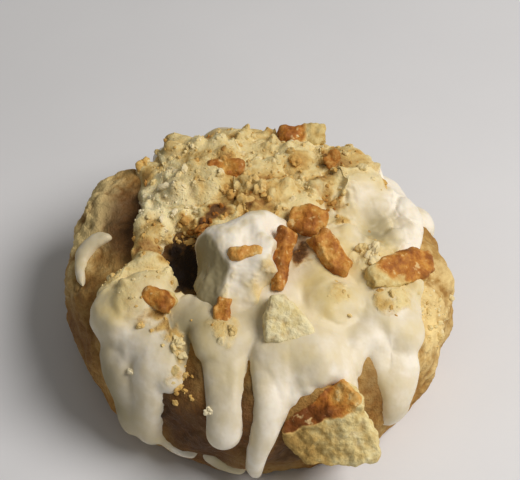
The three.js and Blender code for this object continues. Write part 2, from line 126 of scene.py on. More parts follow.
# A stray curl of icing on the bare left shoulder
CURL = [(172, 33.2, 0.8), (172.3, 35.8, 1.7), (175, 38.6, 1.9), (180, 40.2, 1.5), (189.5, 40, 0.7)]
CURL_HEIGHT = 1.4
CURL_RINGS = 48
CURL_SIDES = 20
CURL_FULLNESS = 1.7
CURL_UNEVENNESS = 0.3
# The curl's stain and thin values darken it as painted shade, on the shaded left side
CURL_VALUES = {"heaped": 0.0, "relief": 0.0, "tint": 0.0, "stain_and_painted_light": 0.4, "thin_and_shade": 0.25}

# The bare place beside the mound, where the dough shows: (angle, path, half width) at its two ends
BARE_PLACE = [(182, 17.4, 3.6), (213, 18.6, 4.4)]

# The mound in the middle: a large broken wafer that the icing has coated all over. Its faces are
# (x, y, z of the way out, distance), with the left one and the front one first.
MOUND_AT = (-3.3, -6.4, 33.4)
MOUND_HALF = (11.1, 11.2, 9.0)
MOUND_POWER = 2.7
MOUND_LUMPS = (31, 8, 9, 0.3)
MOUND_FACES = [
    (-0.76, -0.44, 0.48, 8.7), (0.1, -0.82, 0.56, 8.7), (-0.12, -0.1, 0.98, 7.7), (0.9, -0.15, 0.4, 9.0),
    (-0.35, 0.8, 0.48, 8.6),
]
MOUND_FLATNESS = 0.85

# The flare of the mound's foot, at its front and not at its right, and how it draws back from a wafer
FLARE_REACH = 2.8
FLARE_HEIGHT = 2.8
FLARE_POWER = 1.5
FLARE_SMOOTHING = 16
FOOT_FADE = 3.0
LEANING_WAFER = "wafer_upright"
DRAW_BACK = 1.8

# How ragged the sheet's edge is, how many times more so the bare place's edge is, and how deep the sheet
# goes under the dough
EDGE_RAGGEDNESS = 0.8
BARE_RAGGEDNESS = 3
SHEET_TUCK = 0.9

# Where crumbs lie: thickest about this angle, thinning out between these paths
CRUMB_ANGLE = 120
CRUMB_PATHS = (31, 42)
CRUMB_LEAST = 0.07
CRUMB_POWER = 1.6
HEAP_HEIGHT = 2.8

# The large crumbs, in the same places as in the icing's solid
CRUMB_SEED = 5
CRUMB_COUNT = 62
CRUMB_TRIES = 4000
CRUMB_REACH = 40
CRUMB_RADIUS = (1.0, 2.6)
CRUMB_SHAPE_DRAWS = 6
CRUMB_SPACING = 3.1
CRUMB_RISE = 0.15
CRUMB_SEAT = 0.8
CRUMB_THINNEST = 0.38
CRUMB_SHOWING = 0.7
CRUMB_NEAR = 1.5
CRUMB_UNEVENNESS = 0.3
CRUMB_FILLING = 0.6

# The icing is lumpy to either side of this angle
LUMPY_ANGLE = 95

# Where the crumbs are more golden, or paler, than elsewhere; some of these are painted light and shade: paler
# on the heap's left slope, which faces away from the light, and darker on the left-facing side of the crumb
# ridge
CRUMB_TINTS_AND_PAINTED_LIGHT = [
    (93, 12.6, 7, 0.25), (103, 7.8, 4, 0.25), (120, 20, 6, 0.15), (150, 25, 8, -0.42), (166, 22.8, 4, -0.3),
    (160, 28, 4, -0.1), (70, 30, 7, -0.05), (183, 25, 5.5, 0.36), (108, 30, 8, 0.08),
]

# Patches of crumbs apart from the heap: (angle, path, radius, tint). The dark brown ones also paint shadow:
# between the wafers right of the mound, round the mound's left and back, beside the bare place and in a band
# at the right of the top.
CRUMB_PATCHES_AND_SHADOWS = [
    (336, 10.6, 3.2, 1.0), (326, 10.8, 3.0, 1.0), (221, 30.5, 2.8, 0.75), (227.5, 31.2, 2.8, 0.72),
    (234, 31.4, 2.6, 0.65), (239, 33.6, 2.2, 0.6), (241, 38, 2.0, 0.55), (251.5, 26.4, 2.4, 0.5),
    (316, 21.8, 1.8, 0.5), (328.5, 30.6, 2.2, 0.6), (347.5, 23.2, 3.0, 0.35), (340, 29, 3.4, 0.4),
    (333, 32, 3.0, 0.35), (53, 29.2, 3.0, 0.9), (50.5, 20.2, 2.4, 0.75), (69.5, 23.4, 2.0, 0.7),
    (184.5, 13.6, 2.2, 0.9), (176, 14.4, 2.6, 0.8), (168, 16.5, 2.4, 0.7), (192, 12.2, 1.8, 0.95),
    (143, 33, 2.6, 0.75), (178, 13.4, 2.0, 1.0), (168, 11.8, 2.0, 1.0), (156, 11, 1.8, 1.0),
    (147, 10.8, 2.2, 1.0), (178, 20.4, 2.2, 0.85), (185, 22.6, 2.4, 0.8), (191, 22, 2.4, 0.85),
    (172, 23.6, 2.2, 0.65), (42, 19.2, 2.8, 0.72), (29, 19.2, 2.6, 0.75), (15, 18.6, 2.0, 0.65),
    (4, 25.2, 1.8, 0.85),
]

# Where the crumb mass is smoother than elsewhere, and creases in the cream
CALM_PLACES = [(148, 23, 7, 0.45), (130, 29, 5, 0.4), (46, 28, 4, 0.7)]
CREASES = [(22, 27.2, 2.0, 0.8), (14, 26.4, 2.2, 1.0), (8, 25.8, 2.2, 1.0)]

# Yellow stains in the cream, and cleaner places; some of them paint light and shade instead: a painted
# highlight on a cream lobe at the right of the top, and lighter and darker parts of the icing's left lobe
CREAM_STAINS_AND_PAINTED_LIGHT = [
    (300, 21, 7, 0.4), (330, 24, 8, 0.35), (345, 31, 8, 0.4), (10, 27, 5, 0.2), (221, 36, 5, -0.3),
    (250, 27, 6, 0.4), (345, 19, 6, 0.3), (33, 36, 5, -0.6), (20, 36, 5.5, -0.6), (6, 34, 5, -0.5),
    (28, 25.5, 4, -0.4), (315, 46, 8, 0.15), (208, 34.5, 4, 0.35),
]

# Where the cream lies in larger lumps
CREAM_LUMPS = [(206, 34, 9, 1.0), (215, 40, 6, 0.5), (330, 33, 6, 0.5), (300, 30, 8, 0.3), (312, 22, 7, 0.5)]

# Places where the icing darkens towards the dough's colour: partly thin icing, partly painted shade, as in
# the mound's shadow to its left, in the creases at the right of the top and on the left drip
ICING_THIN_AND_SHADE = [
    (233, 27, 5, 0.7), (238, 31, 4, 0.6), (255, 24, 5, 0.4), (186, 26, 5, 0.3), (7, 25.4, 2.6, 0.9),
    (220, 47, 6, 0.85), (224, 54, 6, 0.85), (214, 42, 4, 0.3), (256, 37, 7, 0.34), (258.6, 43, 5, 0.14),
    (258, 60, 6, 0.6), (17, 27, 2.8, 0.7),
]

# Single larger crumbs: (angle, path, radius, tint)
CHIPS = [
    (70, 23.2, 1.5, 0.7), (52, 29, 2.0, 0.85), (172, 12.2, 1.5, 0.85), (139, 35.2, 2.0, 0.62),
    (93.5, 12.6, 2.0, 0.5), (103, 7.8, 2.0, 0.55), (83.5, 10.2, 1.6, 0.5), (347, 23.6, 2.0, 0.2),
    (343, 24.6, 1.6, 0.25), (349.5, 21.6, 1.5, 0.4), (227.5, 41.6, 1.0, 0.0), (255, 42.6, 1.1, 0.0),
    (237.5, 32, 1.3, 0.3), (240, 33.4, 1.1, 0.25), (236, 33.6, 1.0, 0.35),
]

# Places on the icing and on the dough where small crumbs gather
ICING_GATHERINGS = [
    (350, 24, 5, 0.5), (337, 31, 5, 0.4), (318, 24, 4, 0.2), (230, 31.2, 4, 0.8), (240, 36, 3, 0.8),
    (152, 23, 8, 1.2),
]
DOUGH_GATHERINGS = [(241, 37, 2.0, 1.0), (242, 40, 2.4, 0.6), (342, 40, 7, 0.2), (172, 16.6, 1.8, 0.7)]

# Strewn crumbs: (piece, number on the icing and on the dough, radii, shapes). Shapes are their number, the
# steps of their spheres and their unevenness.
STREWN_CRUMBS = [
    ("crumbs_small", (240, 40), (0.5, 1.1), (16, 4, 0.6)),
    ("crumbs_fine", (600, 110), (0.22, 0.5), (10, 2, 0.6)),
]
CHIP_STONES = (12, 8, 0.9)

# Ranges of a crumb's squash and of its rise over the surface, the mean and spread of its change in tint,
# and the tints of crumbs on the left and right of the dough
CHIP_SQUASH = (0.6, 1.1)
STREWN_SQUASH = (0.45, 1.25)
STREWN_RISE = (-0.5, 0.1)
STREWN_TINT = (0.02, 0.1)
SIDE_TINTS = (0.6, 0.3)

# Wet places of the dough, darker and glossier, whose darkening is also painted shade; places of deep painted
# shade; bumpy places; and pale places, partly painted light
# The wet darkening paints shade in the bare place, the gaps between drips, the valley by the crumb ridge,
# under the front wafer and at the lower left
DOUGH_WET_AND_SHADE = [
    (197, 18.4, 9, 1.0), (242, 46, 11, 0.95), (160, 31.5, 7, 0.9), (172, 30, 6, 0.9), (150, 34, 5, 0.6),
    (265, 44, 7, 0.9), (278, 55, 9, 0.8), (196, 50, 12, 0.6), (255, 57, 9, 0.8), (308, 43, 6, 0.65),
]
# Deep painted shade: in the bare place by the mound, the gaps between drips, the valley by the crumb ridge
# and under the front wafer
DOUGH_PAINTED_SHADE = [
    (196, 18, 5.5, 0.8), (208, 18.4, 5, 0.6), (182, 18, 4.5, 0.6), (239.5, 47, 4.4, 0.6), (250, 54, 6, 0.45),
    (155, 31, 4, 0.3), (278, 54, 5, 0.5), (167, 31.4, 4, 0.4), (246, 37, 3.4, 0.4), (264.5, 37, 3.5, 0.4),
]
DOUGH_CRUSTY = [(150, 38, 10, 1.0), (172, 44, 9, 0.9)]
# Pale places: golden crust at the right edge, and painted light on the left shoulder and along its top
# outline
DOUGH_PALE_AND_LIT = [
    (346, 42, 13, 1.0), (330, 46, 10, 0.6), (156, 43, 9, 2.0), (174, 42, 7, 1.2), (153, 36.6, 4, 1.2),
    (163, 37.6, 4, 1.4), (170.5, 38.4, 4, 1.3),
]

# The way each wafer's baked crust looks, and how deep its brown goes
WAFER_CRUSTS = {
    "wafer_front": ((-0.34, -0.29, 0.89), 1.3),
    "wafer_top": ((-0.05, -0.35, 0.93), 3.0),
    "wafer_slant": ((0.3, -0.3, 0.9), 3.4),
    "wafer_upright": ((0.75, -0.33, 0.575), 5.0),
    "wafer_right": ((0.5, 0.05, 0.86), 2.8),
    "wafer_pale": ((0.0, 0.2, -1.0), 1.0),
    "wafer_back": ((-0.6, -0.2, 0.75), 3.0),
    "wafer_rear": ((-0.1, -0.25, 0.96), 1.8),
    "wafer_left": ((-0.3, -0.5, 0.8), 2.0),
    "wafer_middle": ((-0.05, -0.45, 0.9), 1.8),
    "wafer_on_mound": ((0.05, -0.3, 0.95), 2.0),
}

# The way along which a wafer's crust gets browner and its crumb darker, partly toast and partly painted shade
# on its shaded side; how much browner than others it is all over, how much paler its crumb is, and its share
# of the others' roughness
WAFER_BROWNING_AND_SHADE = {"wafer_front": (-0.9, 0.0, -0.44)}
WAFER_BROWN = {
    "wafer_front": 0.15, "wafer_on_mound": -0.16, "wafer_upright": 0.08, "wafer_right": 0.03,
    "wafer_back": 0.1,
}
WAFER_PALENESS = {"wafer_pale": 1.3, "wafer_front": 0.1}
WAFER_ROUGHNESS = {"wafer_pale": 0.6}

# The wafers' fineness, and rounds of softening for their form and for a blunter one
WAFER_VOXEL = 0.24
WAFER_SMOOTHING = 18
WAFER_BLUNTING = 60

# Fineness of the forms
PROFILE_STEPS = 160
UNDERSIDE_WEIGHT = 0.12
LEAST_STEP = 1e-6
LEAST_LENGTH = 1e-12
PATH_STEP = 0.05
ANGLE_STEP = 0.005
DOUGH_STEPS = 80
SHEET_STEPS = 116
SHEET_SMOOTHING = 2
MOUND_STEPS = 56
MOUND_SMOOTHING = 90
RUN_SAMPLES = 90

# Noise in the relief and the colours: (size of the largest lumps, octaves, shift of the pattern)
NOISE = {
    "edge": (3.4, 2, 40.0), "lobes": (6.5, 2, 7.0), "domes": (2.6, 1, 8.0), "crumble": (11, 2, 21.0),
    "grain": (1.5, 3, 15.0), "crumb": (1.6, 2, 50.0), "clumps": (8, 2, 1.0), "crags": (6.5, 3, 5.0),
    "knobs": (2.6, 3, 6.0), "grains": (2.8, 3, 8.0), "patch": (2.0, 3, 33.0), "cream": (3.5, 2, 9.0),
    "clouds": (6, 2, 11.0), "specks": (1.8, 3, 12.0), "swells": (8, 2, 4.0), "clots": (3.2, 3, 4.6),
    "curl": (3, 2, 2.0), "wander": (4.5, 3, 0), "pores": (3.0, 4, 3), "flakes": (2.0, 3, 9),
    "stone": (1.3, 3, 13),
}

# What the shift of wafers and stones adds to their pattern's own, and the way that a shift of 1 goes
WAFER_SHIFT = 2.0
WAFER_SHIFT_STEP = 3.1
STONE_SHIFT_STEP = 5
SHIFT_WAY = (1.0, 2.3, 3.7)

# How each octave of noise is weaker and finer, how far and how finely domes are bent, and middles of noise
NOISE_FALL = 1.0
NOISE_STEP = 2.0
DOME_BEND = 0.25
DOME_BEND_PITCH = 2.3
DOME_MIDDLE = 0.75
CRAG_MIDDLE = 0.42
KNOB_MIDDLE = 0.4

# Ranges over which something begins: paths, heights and ways in millimetres, degrees, or values of a field
RANGES = {
    "crust_foot": (0.5, 4), "crumbly": (-0.3, 0.4), "body": (0.0, 2.0), "lumpy_turn": (88, 130),
    "lumpy_path": (32, 39), "patch_core": (0.0, 0.2), "patch": (0.15, 0.95), "heaped": (0.26, 0.62),
    "heap_height": (0.0, 0.7), "cream_path": (36, 44), "flare_front": (0.1, 0.7), "flare_right": (0.1, 0.5),
    "draw_back": (0.5, 4.5), "shaded": (0.7, 0.97), "facing": (0.5, 0.95), "mound_crumbs": (0.1, 0.7),
    "shaded_crumb": (-0.25, 0.6), "gathering": (6, 14),
}

# Weights of the fields that make up another, in the order of their use. A field may be 1 all over.
WEIGHTS = {
    "crumbly": (0.3, 0.7, 0.9), "crust": (0.6, 1, 0.2), "crust_share": (0.6, 0.5), "wet_and_shade": (1, 0.15),
    "painted_shade": (1, 0.5, 0.8), "pale_places": (0.9, 0.9, 0.6), "pale": (1, 0.2), "heaped": (1, 0.2),
    "rubble": (0.9, 1.5, 0.7, 0.4), "cream": (0.9, 0.45), "flat": (1, -0.6), "lumps": (0.4, 0.3, 1),
    "share": (0.55, 0.9, 0.6, 0.3), "tint": (0.4, 0.25, 0.18, -0.3), "stain_and_painted_light": (0.2, 1, 0.3, 0.2, 1),
    "mound": (1.3, 0.3, -1), "mound_crumbs": (1, 0.5), "mound_tint": (0.4, 0.5),
    "mound_stain": (0.05, 0.15, 0.35, 0.4, 0.4), "broken": (0.4, 0.6, 0.4), "blisters": (0.7, 0.3),
    "pores": (0.5, 1, 0.5), "brown_and_shade": (0.5, 0.12, 1), "wafer_pale": (1, -1.6),
}
PALE_MOST = 2.2
PATCH_WANDER = 0.5
PATCH_RUBBLE = 0.35
MOUND_CRUMBS = 0.5
MOUND_SHARE = 0.6

# Where a wafer's crust ends: how far it wanders, and shares of its depth
CRUST_WANDER = 0.8
CRUST_DEPTHS = (0.6, 1.4)

# Most of a shader's noise lies in this range. Sockets of the colour mix have numbers, as their names repeat.
NOISE_RANGE = (0.3, 0.7)
MIX_START = 6
MIX_END = 7
MIX_RESULT = 2

# The photograph's camera
IMAGE_WIDTH = 520
IMAGE_HEIGHT = 480
CAMERA_ELEVATION = 50
CAMERA_DISTANCE = 330
CAMERA_TARGET = (0, 0, 16)
CAMERA_SCALE = 4.42
TARGET_PIXEL = (262, 291)
SENSOR_WIDTH = 36
CAMERA_NEAR = 0.01

# The key light, a wide one at the cookie's right: degrees round it and up from the floor, and metres. The
# floor reaches this many metres each way.
KEY_AZIMUTH = -14
KEY_ELEVATION = 54
KEY_DISTANCE = 0.6
KEY_WIDTH = 0.4
KEY_HEIGHT = 0.3
KEY_ENERGY = 3.0
KEY_COLOUR = (1.0, 0.955, 0.925)
WORLD_COLOUR = (1.0, 0.98, 0.93, 1.0)
WORLD_STRENGTH = 0.18
FLOOR_REACH = 2

# Seeds of the strewn crumbs and of the bent noise
STREWN_SEED = 17
NOISE_SEED = 4


def linear(red, green, blue):
    """A colour for the shaders, from its screen values of 0 to 255, by the usual screen curve."""
    shares = [value / 255 for value in (red, green, blue)]
    curved = [((share + 0.055) / 1.055) ** 2.4 for share in shares]
    return [share / 12.92 if share <= 0.04045 else value for share, value in zip(shares, curved)] + [1.0]


def ease(value, low, high):
    """0 below low, 1 above high, and a smooth step between."""
    share = np.clip((value - low) / (high - low), 0, 1)
    return share * share * (3 - 2 * share)


def degrees_from(angle, theta):
    """Degrees from an angle to each theta, between -180 and 180."""
    return (np.degrees(theta) - angle + 180) % 360 - 180


def stream(seed):
    """A repeatable stream of numbers from 0 to 1, the same as the solids draw from."""
    state = seed

    def draw():
        nonlocal state
        state = (state + STREAM_STEP) & WORD
        mixed = ((state ^ (state >> 15)) * (state | 1)) & WORD
        mixed ^= (mixed + (mixed ^ (mixed >> 7)) * (mixed | 61)) & WORD
        return (mixed ^ (mixed >> 14)) / 2**32

    return draw


def lump_field(seed, count, wavelength, height):
    """A field of rounded lumps: plane waves in drawn directions, added up and scaled to the height."""
    draw = stream(seed)
    ways = []
    phases = []
    for _ in range(count):
        z = 2 * draw() - 1
        turn = TAU * draw()
        pitch = TAU / wavelength * (LEAST_PITCH + PITCH_SPREAD * draw())
        flat = math.sqrt(1 - z * z)
        ways.append((pitch * flat * math.cos(turn), pitch * flat * math.sin(turn), pitch * z))
        phases.append(TAU * draw())
    scale = height / math.sqrt(count / 2)
    return lambda points: scale * np.sin(points @ np.array(ways).T + phases).sum(axis=-1)


def swelling_field(swellings, surface):
    """A field of rounded swellings about places on a surface."""
    angles, paths, radii, heights = np.array(swellings, float).T
    centres = surface(np.radians(angles), paths)

    def field(points):
        total = np.zeros(len(points))
        for centre, radius, height in zip(centres, radii, heights):
            total += height * np.exp(-((points - centre) ** 2).sum(axis=1) / radius**2)
        return total

    return field


def blend_max(first, second, width):
    """The greater of two values, rounded where they meet."""
    near = np.maximum(width - np.abs(first - second), 0)
    return np.maximum(first, second) + near * near / (4 * width)


def make_profile():
    """The dough's half section as radius, height and path, from the top by its foot to the underside."""
    turn = np.linspace(0, math.pi / 2, PROFILE_STEPS + 1)
    sines = np.sin(turn)
    cosines = np.maximum(np.cos(turn), 0)
    top_r = WIDEST_RADIUS * sines ** (2 / SHOULDER_POWER)
    top_z = WIDEST_HEIGHT + (DOUGH_HEIGHT - WIDEST_HEIGHT) * cosines ** (2 / SHOULDER_POWER)
    side_r = FOOT_RADIUS + (WIDEST_RADIUS - FOOT_RADIUS) * cosines[1:] ** FOOT_POWER
    side_z = WIDEST_HEIGHT * (1 - sines[1:])
    under_r = FOOT_RADIUS * (1 - np.arange(1, PROFILE_STEPS + 1) / PROFILE_STEPS)
    radii = np.concatenate([top_r, side_r, under_r])
    heights = np.concatenate([top_z, side_z, np.zeros(PROFILE_STEPS)])
    paths = np.concatenate([[0], np.cumsum(np.hypot(np.diff(radii), np.diff(heights)))])
    return radii, heights, paths


PROFILE_RADII, PROFILE_HEIGHTS, PROFILE_PATHS = make_profile()
FOOT_PATH = PROFILE_PATHS[2 * PROFILE_STEPS]


def plan_factor(theta):
    """The plan's radius at each angle, as a share of a true circle's."""
    middle, fade, depth = PLAN_DENT
    away = degrees_from(middle, theta)
    lobes = sum(share * np.cos(count * (theta - math.radians(peak))) for count, share, peak in PLAN_LOBES)
    return 1 + lobes - depth * np.exp(-((away / fade) ** 2))


def smooth_points(theta, path):
    """The smooth form of the dough, before its crags."""
    radius = np.interp(path, PROFILE_PATHS, PROFILE_RADII) * plan_factor(theta)
    height = np.interp(path, PROFILE_PATHS, PROFILE_HEIGHTS)
    return np.stack([radius * np.cos(theta), radius * np.sin(theta), height], axis=-1)


def unit(vectors):
    return vectors / np.maximum(np.linalg.norm(vectors, axis=-1, keepdims=True), LEAST_LENGTH)


def normals_of(surface, theta, path):
    """The outward directions of a surface that is given by angle and path."""
    path = np.maximum(path, 2 * PATH_STEP)
    along = surface(theta, path + PATH_STEP) - surface(theta, path - PATH_STEP)
    around = surface(theta + ANGLE_STEP, path) - surface(theta - ANGLE_STEP, path)
    return unit(np.cross(along, around))


crag_fields = [lump_field(*crag) for crag in CRAGS]
dough_swellings = swelling_field(DOUGH_SWELLINGS, smooth_points)


def dough_points(theta, path):
    """The dough's surface as in its solid. Its crags and swellings end above the flat underside."""
    points = smooth_points(theta, path)
    crags = dough_swellings(points) + sum(field(points) for field in crag_fields)
    fade = ease(FOOT_PATH - path, *CRAG_FADE)
    return points + normals_of(smooth_points, theta, path) * (crags * fade)[:, None]


def make_area_table():
    """The surface area from the middle of the top to each profile point. The underside counts for little."""
    weight = np.where(PROFILE_PATHS[1:] > FOOT_PATH, UNDERSIDE_WEIGHT, 1)
    steps = weight * PROFILE_RADII[1:] * np.diff(PROFILE_PATHS) + LEAST_STEP
    return np.concatenate([[0], np.cumsum(steps)])


AREA = make_area_table()


def geodesic(steps):
    """A unit sphere of even triangles: each edge of an icosahedron is cut into this many steps."""
    start = bmesh.new()
    bmesh.ops.create_icosphere(start, subdivisions=1, radius=1)
    corners = np.array([[corner.co[:] for corner in face.verts] for face in start.faces])
    start.free()
    places = [(i, j) for i in range(steps + 1) for j in range(steps + 1 - i)]
    number = {place: index for index, place in enumerate(places)}
    shares = np.array([(steps - i - j, i, j) for i, j in places]) / steps
    points = unit(np.einsum("pk,fkc->fpc", shares, corners))
    patch = []
    for i, j in places:
        if i + j < steps:
            patch.append((number[i, j], number[i + 1, j], number[i, j + 1]))
        if i + j < steps - 1:
            patch.append((number[i + 1, j], number[i + 1, j + 1], number[i, j + 1]))
    faces = np.array(patch)[None] + (np.arange(len(corners)) * len(places))[:, None, None]
    kept, where = np.unique(points.reshape(-1, 3).round(6), axis=0, return_inverse=True)
    return kept, where.reshape(-1)[faces.reshape(-1, 3)]


def on_dough(sphere):
    """The angle and path over the dough for each point of a unit sphere, spread evenly."""
    theta = np.arctan2(sphere[:, 1], sphere[:, 0])
    wanted = AREA[-1] * (1 - np.clip(sphere[:, 2], -1, 1)) / 2
    return theta, np.interp(wanted, AREA, PROFILE_PATHS)


def spline(values, shares):
    """A smooth curve through a list of values, at shares of its way from 0 to 1."""
    values = np.array(values, float)
    last = len(values) - 1
    place = shares * last
    index = np.minimum(place.astype(int), last - 1)
    weight = (place - index)[:, None]
    before = values[np.maximum(index - 1, 0)]
    start = values[index]
    end = values[index + 1]
    after = values[np.minimum(index + 2, last)]
    leave = (end - before) / 2
    arrive = (after - start) / 2
    return (
        (2 * start - 2 * end + leave + arrive) * weight**3
        + (3 * end - 3 * start - 2 * leave - arrive) * weight**2
        + leave * weight
        + start
    )


def run_line(run, shares):
    """Points on the dough along a run, with the directions up from it and its half widths."""
    angle, path, half = spline(run, shares).T
    theta = np.radians(angle)
    return dough_points(theta, path), normals_of(dough_points, theta, path), half


def run_height(run, height, points):
    """The height of a run's round bar over each point of the dough. It is below 0 beside the bar."""
    centres, _, halves = run_line(run, np.linspace(0, 1, RUN_SAMPLES))
    result = np.full(len(points), -DIP_UNDER)
    reach = halves.max() + DIP_UNDER
    near = ((points > centres.min(axis=0) - reach) & (points < centres.max(axis=0) + reach)).all(axis=1)
    way = np.linalg.norm(points[near][:, None] - centres[None], axis=2)
    ratio = (way / halves).min(axis=1)
    closest = halves[(way / halves).argmin(axis=1)]
    inside = height * np.sqrt(np.maximum(1 - ratio**2, 0))
    outside = -np.minimum((ratio - 1) * closest * DRIP_SLOPE, DIP_UNDER)
    result[near] = np.where(ratio < 1, inside, outside)
    return result


def sheet_edge(theta):
    """The sheet's reach at each angle, eased between the listed angles."""
    angle = np.degrees(theta) % 360
    listed, reach = np.array([*SHEET_EDGE, (360, SHEET_EDGE[0][1])], float).T
    after = np.clip(np.searchsorted(listed, angle, side="right"), 1, len(listed) - 1)
    share = ease(angle, listed[after - 1], listed[after])
    return reach[after - 1] + (reach[after] - reach[after - 1]) * share


def depth_in_bare_place(points):
    """How deep points lie inside the bare place: its half width, less the way from its middle line."""
    angle, path, half = np.array(BARE_PLACE, float).T
    start, end = dough_points(np.radians(angle), path)
    line = end - start
    share = np.clip((points - start) @ line / (line @ line), 0, 1)
    way = np.linalg.norm(points - start - share[:, None] * line, axis=1)
    return half[0] + (half[1] - half[0]) * share - way


def crumb_cover(theta, path):
    """How thickly crumbs lie at each place, from 0 to 1: most on the back of the top."""
    towards = 0.5 + 0.5 * np.cos(theta - math.radians(CRUMB_ANGLE))
    on_top = 1 - ease(path, *CRUMB_PATHS)
    return on_top * (CRUMB_LEAST + (1 - CRUMB_LEAST) * towards**CRUMB_POWER)


icing_lumps = lump_field(*ICING_LUMPS)
sheet_swellings = swelling_field(SHEET_SWELLINGS, dough_points)


def sheet_height(theta, path, points, ragged=0):
    """The sheet's height over the dough. It rounds off at its edge, which may be moved in by a ragged width,
    and goes under the dough outside it."""
    past_edge = path - sheet_edge(theta) + ragged
    in_bare_place = depth_in_bare_place(points) + BARE_RAGGEDNESS * ragged
    depth = -blend_max(past_edge, in_bare_place, BARE_BLEND)
    thickness = ICING_THICKNESS + HEAP_HEIGHT * crumb_cover(theta, path)
    thickness = thickness + icing_lumps(points) + sheet_swellings(points)
    outside = np.maximum(thickness * depth / ICING_BEAD, -DIP_UNDER)
    return np.where(depth < 0, outside, thickness * (1 - np.exp(-np.maximum(depth, 0) / ICING_BEAD)))


def mound_points(sphere):
    """The mound's surface for each point of a unit sphere: an uneven block, flattened by its faces."""
    def rounded(value):
        return np.sign(value) * np.abs(value) ** (2 / MOUND_POWER)

    theta = np.arctan2(sphere[:, 1], sphere[:, 0])
    flat = rounded(np.sqrt(np.maximum(1 - sphere[:, 2] ** 2, 0)))
    ways = [flat * rounded(np.cos(theta)), flat * rounded(np.sin(theta)), rounded(sphere[:, 2])]
    block = np.stack(ways, axis=1) * MOUND_HALF
    block += unit(block) * lump_field(*MOUND_LUMPS)(block)[:, None]
    for x, y, z, distance in MOUND_FACES:
        face = unit(np.array([x, y, z]))
        over = np.maximum(block @ face - distance, 0)
        block -= MOUND_FLATNESS * over[:, None] * face
    return block + MOUND_AT


def icing_height(theta, path, points):
    """The height of all the icing over the dough: the sheet, the drips and the smears."""
    height = sheet_height(theta, path, points, EDGE_RAGGEDNESS * rough(points, "edge"))
    for runs, top in ((DRIPS, DRIP_HEIGHT), (SMEARS, SMEAR_HEIGHT)):
        for run in runs:
            height = blend_max(height, run_height(run, top, points), DRIP_BLEND)
    return height


def amounts(places, points):
    """The amount at each point from places on the dough, which fade out over their radius."""
    return swelling_field(places, dough_points)(points)


def eased(value, name):
    """0 below a named range, 1 above it, and a smooth step between."""
    return ease(value, *RANGES[name])


def weighted(name, *fields):
    """The sum of some fields, each times its weight under this name."""
    return sum(weight * field for weight, field in zip(WEIGHTS[name], fields))


def noise_places(points, name, more_shift=0):
    """Where points lie in a named noise pattern, and its octaves."""
    size, octaves, shift = NOISE[name]
    start = Vector([way * (shift + more_shift) for way in SHIFT_WAY])
    return [Vector(point) + start for point in (points / size).tolist()], octaves


def rough(points, name, more_shift=0):
    """Fractal noise at each point, about -1 to 1."""
    places, octaves = noise_places(points, name, more_shift)
    return np.array([noise.fractal(at, NOISE_FALL, NOISE_STEP, octaves) for at in places])


def billowed(points, name, more_shift=0):
    """Rounded lumps of several sizes with sharp creases between them, from 0 to about 1."""
    places, octaves = noise_places(points, name, more_shift)
    return np.array([noise.turbulence(at, octaves, True) for at in places])


def packed(points, name):
    """Uneven domes, packed side by side: 1 on their tops, and less in the creases."""
    ways = []
    for at in noise_places(points, name)[0]:
        bent = at + DOME_BEND * noise.noise_vector(DOME_BEND_PITCH * at)
        ways.append(noise.voronoi(bent)[0][0])
    return 1 - np.minimum(np.array(ways), 1) ** 2


def corner_normals(points, faces):
    """The outward direction at each corner of a mesh of triangles."""
    first, second, third = (points[faces[:, corner]] for corner in range(3))
    across = np.cross(second - first, third - first)
    total = np.zeros_like(points)
    for corner in range(3):
        np.add.at(total, faces[:, corner], across)
    return unit(total)


def smoothed(points, faces, rounds):
    """A mesh of triangles with each corner moved towards the middle of its neighbours, a number of times."""
    starts = faces.reshape(-1)
    ends = np.roll(faces, 1, axis=1).reshape(-1)
    counts = np.bincount(starts, minlength=len(points))[:, None]
    for _ in range(rounds):
        middle = np.zeros_like(points)
        np.add.at(middle, starts, points[ends])
        points = (points + middle / counts) / 2
    return points


def add_object(name, data):
    made = bpy.data.objects.new(name, data)
    bpy.context.scene.collection.objects.link(made)
    return made


def make_piece(name, points, faces, look, replaced, values, smooth=True):
    """A mesh piece of the cookie from points in millimetres, with a number at each corner per value name."""
    mesh = bpy.data.meshes.new(name)
    mesh.from_pydata((points * MM).tolist(), [], np.asarray(faces).tolist())
    if smooth:
        mesh.shade_smooth()
    mesh.materials.append(look)
    for key, numbers in values.items():
        layer = mesh.attributes.new(key, "FLOAT", "POINT")
        layer.data.foreach_set("value", np.asarray(numbers, np.float32))
    piece = add_object(name, mesh)
    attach(piece, "root")
    if replaced:
        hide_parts(*replaced)


